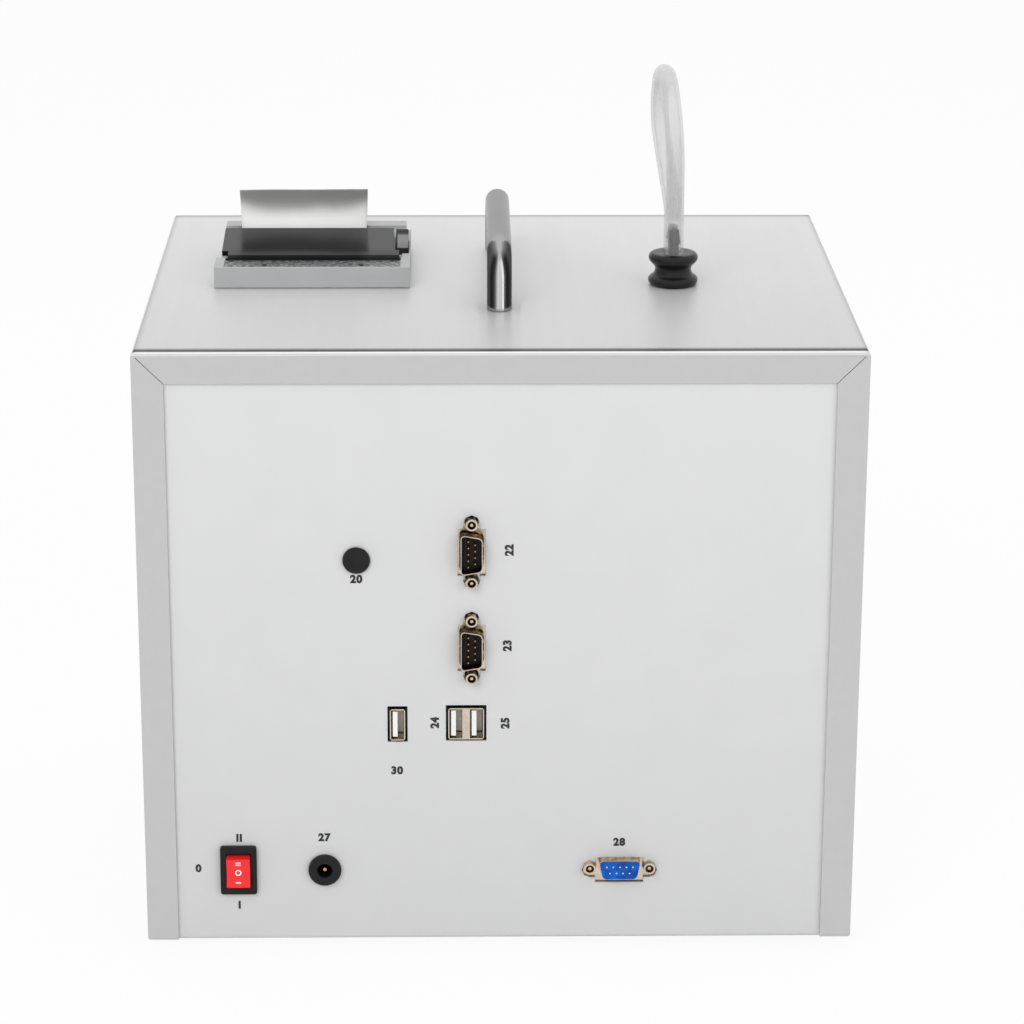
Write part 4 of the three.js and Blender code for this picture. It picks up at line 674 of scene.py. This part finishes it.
NODE_MATERIAL = {"base_tray": "panel", "release_lever": "lever"}
SLOT_MATERIAL = {"brass": "gold"}
NODE_BEVEL = {
    "cover_shell": 0.3, "base_tray": 0.2, "printer_body": 0.35, "printer_lid": 0.5, "switch_rocker": 0.35,
    "release_lever": 0.6, "switch_body": 0.25, "battery": 0.6, "keypad": 0.15, "paper_roll": 0.1,
}
COMMON_BEVEL = 0.12
ROUND_NODES = ("pump_tube", "outlet_hose", "intake_hose")

for entry in frame["record"]["subparts"]:
    node, slot_name = entry["node"], entry["material_slot"]
    kind = NODE_MATERIAL.get(node, SLOT_MATERIAL.get(slot_name, slot_name))
    if node in ROUND_NODES:
        dress(node, kind, 0, 50)
    else:
        dress(node, kind, NODE_BEVEL.get(node, COMMON_BEVEL), 35)


# Carrying handle

BAR = 10.5
HANDLE_LEGS = (69.5, 176.5)
HANDLE_TOP = 25
HANDLE_X = (0.3, 0.8)
HANDLE_BEND = 12
HANDLE_GAP = 0.3


def handle_points():
    near, far = HANDLE_LEGS
    points = [on_deck(HANDLE_X[0], near, HANDLE_GAP)]
    for x, y, start, side in ((HANDLE_X[0], near, 180, 1), (HANDLE_X[1], far, 90, -1)):
        centre = (y + side * HANDLE_BEND, HANDLE_TOP - HANDLE_BEND)
        points += [on_deck(x, *spot) for spot in arc(centre, HANDLE_BEND, start, start - 90, 16)]
    return [*points, on_deck(HANDLE_X[1], far, HANDLE_GAP)]


tube_curve("handle", handle_points(), BAR, "polished_steel", 10, "handle_bar")


# Bung and nipples

BUNG_X, BUNG_Y = 76.5, 112.5
BUNG_RISE = 14.3
NIPPLE_STEP = 4.8
NIPPLE_PROFILE = [
    (1.2, -18.8), (2.0, -18.8), (2.6, -16.1), (2.6, -15.0), (2.0, -13.4), (2.0, 19.4), (2.75, 19.4),
    (2.85, 19.6), (2.85, 20.3), (2.6, 20.6), (2.0, 25.4), (1.2, 25.6), (1.2, -18.8),
]


def bung_profile():
    lip, waist, plug, collar = 10.7, 7.8, 8.7, 10.5
    return smooth_profile([
        (0, -10.5), (7.1, -10.5), (8.9, -3.1), (collar - 0.6, -2.2), (collar, -1.9), (collar - 0.4, -1.5),
        (plug, -1.5), (plug, 0.3), (lip - 0.9, 0.3), (lip - 0.2, 1.1), (lip + 0.1, 2.2), (lip - 0.1, 3.1),
        (lip - 0.8, 3.9), (waist + 1.1, 4.6), (waist + 0.5, 5.3), (waist + 0.15, 6.2), (waist, 7.1),
        (waist + 0.15, 7.9), (waist + 0.6, 8.7), (lip - 1.2, 9.9), (lip - 0.3, 11.0), (lip, 12.2),
        (lip - 0.3, 13.3), (lip - 1.0, 14.0), (lip - 2.0, BUNG_RISE), (3.0, 14.05), (0, 14.0),
    ], 3)


bung_place = Matrix.Translation(on_deck(BUNG_X, BUNG_Y, 0))
link("tube_bung_skin", lambda s: turned(s, bung_profile(), bung_place, 96), "rubber",
     replaces=["tube_bung"])
for i, side in enumerate((-1, 1), 1):
    place = Matrix.Translation(on_deck(BUNG_X, BUNG_Y + side * NIPPLE_STEP, 0))
    link(f"nipple_{i}", lambda s: turned(s, NIPPLE_PROFILE, place, 32), "dark_plastic",
         replaces=[f"hose_nipple_{i}"], bevel=0.1)


# Loop of clear tube. Its route repeats the points of the CAD tube, and starts above the bung's lip.

TUBE = 8
TUBE_WALL = 1.1
LOOP_GAP = 0.3
LOOP_LEAD, LOOP_BOW = 27.3, 31.3
LOOP_LEAN, LEAN_SHARE, LOOP_TWIST = 4.4, 0.8, 1.6
LOOP_HALF, LOOP_BULGE = 25.5, 68
LOOP_SHOULDER, LOOP_SHOULDER_RISE, LOOP_APEX = 17, 87, 92


def loop_points():
    def strand(side):
        foot = (BUNG_X, BUNG_Y + side * NIPPLE_STEP)
        twist = side * LOOP_TWIST
        return [
            on_deck(*foot, BUNG_RISE + LOOP_GAP), on_deck(*foot, LOOP_LEAD), on_deck(*foot, LOOP_BOW),
            on_deck(BUNG_X - LOOP_LEAN * LEAN_SHARE - twist, BUNG_Y + side * LOOP_HALF, LOOP_BULGE),
            on_deck(BUNG_X - LOOP_LEAN - twist / 2, BUNG_Y + side * LOOP_SHOULDER, LOOP_SHOULDER_RISE),
        ]
    return catmull([*strand(-1), on_deck(BUNG_X - LOOP_LEAN, BUNG_Y, LOOP_APEX), *strand(1)[::-1]], 10)


loop_line = loop_points()
loop = tube_curve("clear_tube", loop_line, TUBE, "silicone", 10, "loop_tube", TUBE_WALL)


# Printer trim: paper strip with its curl, and the mottled metal strip in the recess with its notches

PRINTER_X, PRINTER_Y = -80.2, 105.5
PAPER_LEFT, PAPER_RIGHT = -33.3, 22.7
PAPER_THICK = 0.12
PAPER_COLUMNS = 28
PAPER_PATH = (
    (51.95, -15.2), (54.6, -6), (54.95, 0), (54.95, 7.4), (57.6, 11.4), (58.4, 14.6), (59.4, 19), (59.3, 25),
    (57.6, 30.4),
)
CURL_FROM, CURL_RISE = 14, 16
RECESS_FLOOR = 8
RECESS_OUTLINE = fillet([(-37.9, 2.0), (37.7, 2.0), (37.7, 16.4), (-37.9, 16.4)], 0.5)
NOTCHES_X, NOTCH_Y = (-20.9, 21.1), 8.6


def on_printer(x, y, z):
    return on_deck(PRINTER_X + x, PRINTER_Y + y, z)


def paper_slip(shape):
    """The paper's path, swept across with a sag, a raised corner and a flare that grow upwards."""
    rows = []
    for point in catmull([Vector((0, y, z)) for y, z in PAPER_PATH], 8):
        rise = max(0.0, (point.z - CURL_FROM) / CURL_RISE)
        row = []
        for i in range(PAPER_COLUMNS + 1):
            share = i / PAPER_COLUMNS
            sag = rise * (0.55 * math.sin(math.pi * share * 1.3 + 0.4) - 0.25 * math.sin(3 * math.pi * share))
            lift = rise * (0.5 * share + 0.12 * math.sin(9 * share))
            flare = rise * 0.5 * (2 * share - 1) ** 5
            x = PAPER_LEFT + (PAPER_RIGHT - PAPER_LEFT) * share + flare
            row.append(shape.verts.new(on_printer(x, point.y + sag, point.z + lift)))
        rows.append(row)
    for low, high in zip(rows, rows[1:]):
        for i in range(PAPER_COLUMNS):
            shape.faces.new((low[i], low[i + 1], high[i + 1], high[i]))


def in_recess(x, y):
    return Matrix.Translation(on_printer(x, y, RECESS_FLOOR))


# Black pads in the strip's notches: painted shade standing in for the hollows there.
def recess_notches(shape):
    for x in NOTCHES_X:
        prism(shape, rounded(2.1, 3.2, 0.3, 2), 0.3, 0.5, in_recess(x, NOTCH_Y))


slip = link("paper_slip", paper_slip, "paper", replaces=["paper_strip"])
leaf = slip.modifiers.new("leaf", "SOLIDIFY")
leaf.thickness = PAPER_THICK * MM
leaf.offset = 0
link("recess_strip", lambda s: prism(s, RECESS_OUTLINE, 0.05, 0.35, in_recess(0, 0)), "mottled",
     bevel=0.05)
link("recess_notches", recess_notches, "ink")


# Nine-pin ports: hood, walls, insulator and pins, measured outward from the panel. Down is the way in which
# the tips of the jack screws hang in their bores.

Port = namedtuple("Port", "height out post down core_inset core_depth pin_depth walls core core_slot pin")
UPRIGHT = Port(height=9.2, out=5.4, post=4.0, down=(-1, 0), core_inset=0.54, core_depth=4.3, pin_depth=1.3,
               walls="nickel_in_painted_shade", core="insulator", core_slot="black_plastic", pin="gold")
LEVEL = Port(height=8.5, out=4.5, post=3.3, down=(0, -1), core_inset=0.12, core_depth=-0.15, pin_depth=-0.25,
             walls="patchy_nickel_in_painted_shade", core="blue_plastic", core_slot="blue_plastic", pin="tin")
PORTS = (
    ("display_port", -12, 174.5, 90, UPRIGHT), ("keyboard_port", -12, 132.5, 90, UPRIGHT),
    ("serial_port", 50.8, 33.3, 0, LEVEL),
)
HOOD_WIDTH, HOOD_SLANT, HOOD_WALL, HOOD_CORNER = 17.7, 1.5, 0.42, 2.2
RIM = 0.45
PLATE, PLATE_THICK, PLATE_FACE = (31, 14.8, 1.4), 0.8, -1.5
# A dark ring round the hood's foot: painted shade for the gap there.
DARK_SURROUND, DARK_SURROUND_RISE = 0.5, 0.6
BLOCK, BLOCK_BACK, BLOCK_FACE = (19, 11, 0.8), -8.7, -2.6
PIN, PIN_PITCH, PIN_ROWS, PIN_ROOT = 0.42, 2.77, ((5, 1.42), (4, -1.42)), 0.5
SCREW_STEP, SCREW_FLATS, SCREW_SIDES = 12.65, 4.9, 32
SCREW_BORE, SCREW_END, WASHER = circle(1.75, SCREW_SIDES), circle(2.5, SCREW_SIDES), circle(3.0, SCREW_SIDES)
WASHER_FACE = PLATE_FACE + 0.7
SCREW_TIP = [(0, -3), (1.15, -3), (1.1, -1.7), (0.75, -1.2), (0, -1.0)]
TIP_DROP = 0.35


def hood_outline(port, inset):
    top, half = HOOD_WIDTH / 2 - inset, port.height / 2 - inset
    points = [(HOOD_SLANT - top, -half), (top - HOOD_SLANT, -half), (top, half), (-top, half)]
    return fillet(points, HOOD_CORNER - inset, 6)


def port_hood(shape, place, port):
    """The bright parts: plate, the hood's rim, the ends of the jack screws and the tips in their bores."""
    prism(shape, rounded(*PLATE), PLATE_FACE - PLATE_THICK, PLATE_FACE, place)
    outside, inside = hood_outline(port, 0), hood_outline(port, HOOD_WALL)
    sleeve(shape, outside, inside, port.out - RIM, port.out, place)
    for side in (-1, 1):
        spot = place @ shift(side * SCREW_STEP, 0, 0)
        sleeve(shape, SCREW_END, SCREW_BORE, port.post - RIM, port.post, spot)
        across, up = port.down
        turned(shape, SCREW_TIP, spot @ shift(across * TIP_DROP, up * TIP_DROP, port.post), 24)


def port_walls(shape, place, port):
    """The parts in painted shade, made of darker copies of the nickel: the hood's wall, a dark ring round its
    root that stands in for the shadow gap there, and the washers and bodies of the jack screws.
    """
    outside, inside = hood_outline(port, 0), hood_outline(port, HOOD_WALL)
    sleeve(shape, outside, inside, PLATE_FACE, port.out - RIM, place)
    sleeve(shape, hood_outline(port, -DARK_SURROUND), outside, PLATE_FACE, PLATE_FACE + DARK_SURROUND_RISE, place)
    for side in (-1, 1):
        spot = place @ shift(side * SCREW_STEP, 0, 0)
        sleeve(shape, WASHER, SCREW_BORE, PLATE_FACE, WASHER_FACE, spot)
        sleeve(shape, hexagon(SCREW_FLATS, SCREW_SIDES), SCREW_BORE, WASHER_FACE, port.post - RIM, spot)


def port_core(shape, place, port):
    prism(shape, rounded(*BLOCK), BLOCK_BACK, BLOCK_FACE, place)
    prism(shape, hood_outline(port, port.core_inset), BLOCK_FACE, port.out - port.core_depth, place)


def port_pins(shape, place, port):
    low, high = port.out - port.core_depth - PIN_ROOT, port.out - port.pin_depth
    profile = [(0, low), (PIN, low), (PIN, high - 0.3), (0.34, high - 0.1), (0.18, high), (0, high)]
    for count, y in PIN_ROWS:
        for i in range(count):
            turned(shape, profile, place @ shift((i - (count - 1) / 2) * PIN_PITCH, y, 0), 16)


for name, x, y, turn, port in PORTS:
    place = on_panel(x, y, turn)
    link(f"{name}_hood", lambda s: port_hood(s, place, port), "nickel",
         replaces=[f"{name}_shell"], bevel=0.12)
    link(f"{name}_walls", lambda s: port_walls(s, place, port), port.walls, bevel=0.1)
    link(f"{name}_core", lambda s: port_core(s, place, port), port.core,
         replaces=[f"{name}_insulator"], bevel=0.15)
    link(f"{name}_pins", lambda s: port_pins(s, place, port), port.pin)


# Power socket and aerial cap, turned outward from the panel

JACK_X, JACK_Y = -74.3, 32.5
AERIAL_X, AERIAL_Y = -59.6, 171.1
SOCKET_PROFILE = [
    (3.1, 1.9), (3.6, 2.4), (6.1, 2.4), (6.75, 2.1), (7.0, 1.5), (7.0, 0.3), (5.5, 0.3), (5.5, -12),
    (1.3, -12), (1.3, -9), (3.1, -9), (3.1, 1.9),
]
POWER_PIN_PROFILE = [(0, -15), (1.0, -15), (1.0, 0.1), (0.8, 0.5), (0, 0.6)]
AERIAL_PROFILE = smooth_profile([
    (0, -4.6), (2.6, -4.6), (3.5, -1.7), (3.0, -1.6), (3.0, 0.3), (5.5, 0.3), (5.75, 0.7), (5.6, 1.4),
    (4.9, 2.05), (3.6, 2.45), (0, 2.6),
], 2)

jack_place = on_panel(JACK_X, JACK_Y)
link("power_socket", lambda s: turned(s, SOCKET_PROFILE, jack_place), "black_plastic",
     replaces=["jack_body"], bevel=0.15)
link("power_pin", lambda s: turned(s, POWER_PIN_PROFILE, jack_place, 32), "gold",
     replaces=["jack_pin"], bevel=0.15)
link("aerial_dome", lambda s: turned(s, AERIAL_PROFILE, on_panel(AERIAL_X, AERIAL_Y)), "black_plastic",
     replaces=["aerial_cap"])


# Marks on the rocker

ROCKER_X, ROCKER_Y = -110.8, 32.8
ROCKER_VALLEY, ROCKER_PEAK, ROCKER_REACH = 3.9, 5.4, 6.4
MARK_RISE = 0.05
MARK_Y = 4.3


def rocker_mark(name, build, y):
    """A white mark on the rocker's slope, y millimetres above its middle."""
    climb = (ROCKER_PEAK - ROCKER_VALLEY) / ROCKER_REACH
    tilt = math.degrees(math.atan(climb)) * ((y > 0) - (y < 0))
    place = on_panel(ROCKER_X, ROCKER_Y) @ shift(0, y, ROCKER_VALLEY + climb * abs(y)) @ spin(tilt, "X")
    link(name, lambda s: build(s, place), "mark", "rocker")


def bars(*offsets):
    def build(shape, place):
        for offset in offsets:
            prism(shape, rounded(2.3, 0.62, 0.15, 2), -MARK_RISE, MARK_RISE, place @ shift(0, offset, 0))
    return build


def ring(shape, place):
    sleeve(shape, circle(1.35, 40), circle(0.85, 40), -0.1, 0.5, place)


rocker_mark("mark_two", bars(-0.55, 0.55), MARK_Y)
rocker_mark("mark_off", ring, 0)
rocker_mark("mark_one", bars(0), -MARK_Y)


# Plain numbers on the connector side

LETTER_SPACE = 1.12
INK_THICKNESS = 0.03
LABEL_SIZE, LABEL_BOLD, LABEL_OUT = 4.6, 0.055, 0.04
LABELS = (
    ("20", -59.7, 162.6, 0), ("22", 3.7, 175.2, 90), ("23", 3.0, 133.3, 90), ("24", -27.3, 99.0, 90),
    ("25", 2.2, 98.7, 90), ("30", -43.4, 77.4, 0), ("27", -74.4, 47.0, 0), ("28", 50.6, 44.3, 0),
    ("II", -110.4, 46.9, 0), ("I", -110.8, 16.0, 0), ("0", -127.9, 33.0, 0),
)


def label(name, text, place, size, bold):
    """Printed characters of a size in millimetres, made bolder by a share of it."""
    data = bpy.data.curves.new(name, "FONT")
    data.body = text
    data.align_x = "CENTER"
    data.align_y = "CENTER"
    data.size = size * MM
    data.space_character = LETTER_SPACE
    data.extrude = INK_THICKNESS * MM
    data.offset = bold * size * MM
    data.materials.append(MATERIALS["ink"])
    piece = bpy.data.objects.new(name, data)
    piece.matrix_world = place
    settle(piece, "case")


for i, (text, x, y, turn) in enumerate(LABELS, 1):
    label(f"label_{i}", text, on_panel(x, y, turn) @ shift(0, 0, LABEL_OUT), LABEL_SIZE, LABEL_BOLD)


# Feet and side screws

FOOT_PROFILE = [
    (1.2, 0), (6.6, 0), (7.5, 0.25), (7.95, 0.9), (8.0, 1.6), (7.8, 4.7), (3.0, 4.7), (3.0, 6.5), (4.0, 6.5),
    (3.4, 8.6), (2.7, 9.5), (1.2, 9.5), (1.2, 0),
]
SIDE_SCREW_PROFILE = [
    (0, -9.7), (1.5, -9.7), (1.5, 0), (3.0, 0), (2.95, 0.7), (2.6, 1.3), (1.9, 1.7), (1.3, 1.72), (1.3, 1.0),
    (0, 0.8),
]
SCREW_GAP = 0.3
CROSS_NEAR, CROSS_FAR = 0.42, 1.25

for i in range(1, 5):
    spot = middle(f"foot_{i}")
    place = Matrix.Translation((spot.x, spot.y, 0))
    link(f"foot_pad_{i}", lambda s: turned(s, FOOT_PROFILE, place, 48), "rubber",
         replaces=[f"foot_{i}"], bevel=0.15)


def screw_head(shape, place):
    """A round head, with four bosses between the arms of its cross recess."""
    turned(shape, SIDE_SCREW_PROFILE, place, 48)
    for turn in (0, 90):
        for side in (-1, 1):
            near, far = side * CROSS_NEAR, side * CROSS_FAR
            boss = [(near, CROSS_NEAR), (far, CROSS_NEAR), (far, CROSS_FAR), (near, CROSS_FAR)]
            prism(shape, boss, 0.8, 1.7, place @ spin(turn))


for side, word, wall in ((-1, "left", CASE_LOW.x), (1, "right", CASE_HIGH.x)):
    for i in (1, 2):
        node = f"side_screw_{word}_{i}"
        spot = middle(node)
        place = Matrix.Translation((wall + side * SCREW_GAP * MM, spot.y, spot.z)) @ spin(90 * side, "Y")
        link(f"screw_{word}_{i}", lambda s: screw_head(s, place), "zinc",
             replaces=[node], bevel=0.1)


# Suction tube and its boss on the operator side

SUCTION_PIPE, SUCTION_WALL, SUCTION_BEND = 5, 0.8, 12
GLAND_PROFILE = [
    (2.8, 0), (6.4, 0), (7.6, -0.5), (8.6, -2.6), (9.0, -4.0), (5.5, -4.0), (5.5, -11.5), (2.8, -11.5),
    (2.8, 0),
]


def suction_line():
    low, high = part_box("suction_tube")
    x = (low.x + high.x) / 2
    y = high.y - SUCTION_PIPE / 2 * MM
    z = high.z - SUCTION_PIPE / 2 * MM
    bend = SUCTION_BEND * MM
    elbow = [Vector((x, *spot)) for spot in arc((y - bend, z - bend), bend, 90, 0, 16)]
    return [Vector((x, low.y, z)), *elbow, Vector((x, y, low.z))]


tube_curve("suction_pipe", suction_line(), SUCTION_PIPE, "polished_steel", 8, "suction_tube", SUCTION_WALL)
boss_place = on_front(middle("suction_boss"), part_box("suction_boss")[1].y)
link("suction_gland", lambda s: turned(s, GLAND_PROFILE, boss_place), "black_plastic",
     replaces=["suction_boss"], bevel=0.2)


# Display and keypad on the operator side

KEYS = ("1", "2", "3", "+", "4", "5", "6", "-", "7", "8", "9", "=", "<", "0", ">", "OK")
KEY_PITCH_X, KEY_PITCH_Z = 21, 16
KEY_SIZE, WIDE_KEY_SIZE, KEY_BOLD, KEY_OUT = 6.5, 5, 0.02, 0.02
SCREEN = (92, 34, 1.0)
SCREEN_GAP = 0.1

keypad_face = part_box("keypad")[1].y
for i, text in enumerate(KEYS):
    row, column = divmod(i, 4)
    spot = middle("keypad") + Vector(((1.5 - column) * KEY_PITCH_X, 0, (1.5 - row) * KEY_PITCH_Z)) * MM
    size = KEY_SIZE if len(text) < 2 else WIDE_KEY_SIZE
    label(f"key_{i + 1}", text, on_front(spot, keypad_face + KEY_OUT * MM), size, KEY_BOLD)

screen_place = on_front(middle("display_window"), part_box("display_module")[1].y + SCREEN_GAP * MM)
link("lcd_screen", lambda s: prism(s, rounded(*SCREEN), -0.02, SCREEN_GAP, screen_place), "lcd")


# Stage: pale floor, white background, soft light

AMBIENT = 0.62
GLOW_SHARE = 0.93
FLOOR_RADIUS, FLOOR_THICK = 6000, 10
LAMPS = (
    ("key", (-1.1, -2.2, 1.9), (0, 0, 0.15), 1.6, 26),
    ("fill", (1.6, -1.8, 1.0), (0, 0, 0.15), 1.6, 12),
    ("top", (0.2, 0.6, 2.4), (0, 0, 0.2), 1.8, 12),
)


def seen_directly(tree):
    """1 for camera, glossy and transmission rays."""
    path = tree.nodes.new("ShaderNodeLightPath")
    direct = calculate(tree, "MAXIMUM", path.outputs["Is Camera Ray"], path.outputs["Is Glossy Ray"])
    return calculate(tree, "MAXIMUM", direct, path.outputs["Is Transmission Ray"])


def mixed(tree, factor, first, second, output):
    """Shows the first shader where factor is 0 and the second where it is 1."""
    mix = tree.nodes.new("ShaderNodeMixShader")
    tree.links.new(factor, mix.inputs["Fac"])
    tree.links.new(first.outputs[0], mix.inputs[1])
    tree.links.new(second.outputs[0], mix.inputs[2])
    tree.links.new(mix.outputs[0], output.inputs["Surface"])


def white_shader(tree, kind, strength):
    shader = tree.nodes.new(kind)
    shader.inputs["Color"].default_value = solid(grey(1))
    shader.inputs["Strength"].default_value = strength
    return shader


def make_world():
    world = bpy.data.worlds.new("studio")
    scene.world = world
    world.use_nodes = True
    tree = world.node_tree
    tree.nodes.clear()
    ambient = white_shader(tree, "ShaderNodeBackground", AMBIENT)
    white = white_shader(tree, "ShaderNodeBackground", 1)
    mixed(tree, seen_directly(tree), ambient, white, tree.nodes.new("ShaderNodeOutputWorld"))


def make_floor():
    material, tree, shader = node_tree("floor")
    stops = [(0.3, solid(grey(0.86))), (0.7, solid(grey(0.88)))]
    tree.links.new(ramp(tree, noise(tree, 3), stops), shader.inputs["Base Color"])
    shader.inputs["Roughness"].default_value = 0.9
    shader.inputs["Specular IOR Level"].default_value = 0
    glow = white_shader(tree, "ShaderNodeEmission", 1)
    mixed(tree, product(tree, seen_directly(tree), GLOW_SHARE), shader, glow, tree.nodes["Material Output"])
    mesh = mesh_from("floor", lambda s: prism(s, circle(FLOOR_RADIUS, 96), -FLOOR_THICK, 0))
    floor = bpy.data.objects.new("floor", mesh)
    scene.collection.objects.link(floor)
    floor.data.materials.append(material)


def lamp(name, place, target, size, power):
    data = bpy.data.lights.new(name, "AREA")
    data.shape = "DISK"
    data.size = size
    data.energy = power
    light = bpy.data.objects.new(name, data)
    scene.collection.objects.link(light)
    aim = (Vector(target) - Vector(place)).to_track_quat("-Z", "Y")
    light.matrix_world = Matrix.Translation(place) @ aim.to_matrix().to_4x4()
    light.visible_glossy = False


# Small cards round the handle's near leg, seen only in reflections, which give the bare rod its dark
# flanks. Each is a start and an end angle in degrees, and a level. They fade upwards between two heights.

CARDS = (
    (-130, -88, 0.17), (-88, -72, 0.1), (-72, -48, 0.035), (-48, -39, 0.06), (-39, -32, 0.12),
    (-32, -25, 0.28), (-25, -18, 0.6), (-18, 13, 1.25), (17, 29, 2.0), (29, 36, 0.27), (36, 43, 0.12),
    (43, 52, 0.06), (52, 78, 0.032), (78, 92, 0.09), (92, 130, 0.15),
)
CARD_REACH = 9
CARD_BACK_PER_DEGREE = 0.35
CARD_COLUMNS = 12
CARD_FOOT = 0.2
CARD_FADE_FROM = 28
BRIGHT_RISE, DARK_RISE = 32, 58


def card_spot(degrees):
    """A point on the arc before the leg, which runs straight back beyond a quarter turn."""
    way = math.radians(max(-90, min(90, degrees)))
    back = max(0, abs(degrees) - 90) * CARD_BACK_PER_DEGREE
    return HANDLE_X[0] + CARD_REACH * math.sin(way), HANDLE_LEGS[0] - CARD_REACH * math.cos(way) + back


def card_material(name, level, rise):
    """A glow that is clear from behind and fades upwards."""
    material, tree, _ = node_tree(name)
    tree.nodes.clear()
    glow = tree.nodes.new("ShaderNodeEmission")
    glow.inputs["Strength"].default_value = level
    clear = tree.nodes.new("ShaderNodeBsdfTransparent")
    back = tree.nodes.new("ShaderNodeNewGeometry").outputs["Backfacing"]
    fade = spread_to(tree, own_place(tree)[2], 0, 1, DECK + CARD_FADE_FROM * MM, DECK + rise * MM)
    output = tree.nodes.new("ShaderNodeOutputMaterial")
    mixed(tree, calculate(tree, "MAXIMUM", back, fade), glow, clear, output)
    return material


def make_cards():
    for i, (start, end, level) in enumerate(CARDS, 1):
        rise = BRIGHT_RISE if level > 1 else DARK_RISE
        mesh = bpy.data.meshes.new(f"leg_card_{i}")
        shape = bmesh.new()
        columns = []
        for k in range(CARD_COLUMNS + 1):
            x, y = card_spot(start + (end - start) * k / CARD_COLUMNS)
            columns.append([shape.verts.new(on_deck(x, y, z)) for z in (CARD_FOOT, rise)])
        for a, b in zip(columns, columns[1:]):
            shape.faces.new((a[0], a[1], b[1], b[0]))
        shape.to_mesh(mesh)
        shape.free()
        card = bpy.data.objects.new(mesh.name, mesh)
        scene.collection.objects.link(card)
        card.data.materials.append(card_material(card.name, level, rise))
        card.visible_camera = False
        card.visible_diffuse = False
        card.visible_shadow = False
        card.visible_transmission = False


make_camera()
make_world()
make_floor()
for values in LAMPS:
    lamp(*values)
make_cards()
scene.view_settings.view_transform = "Standard"
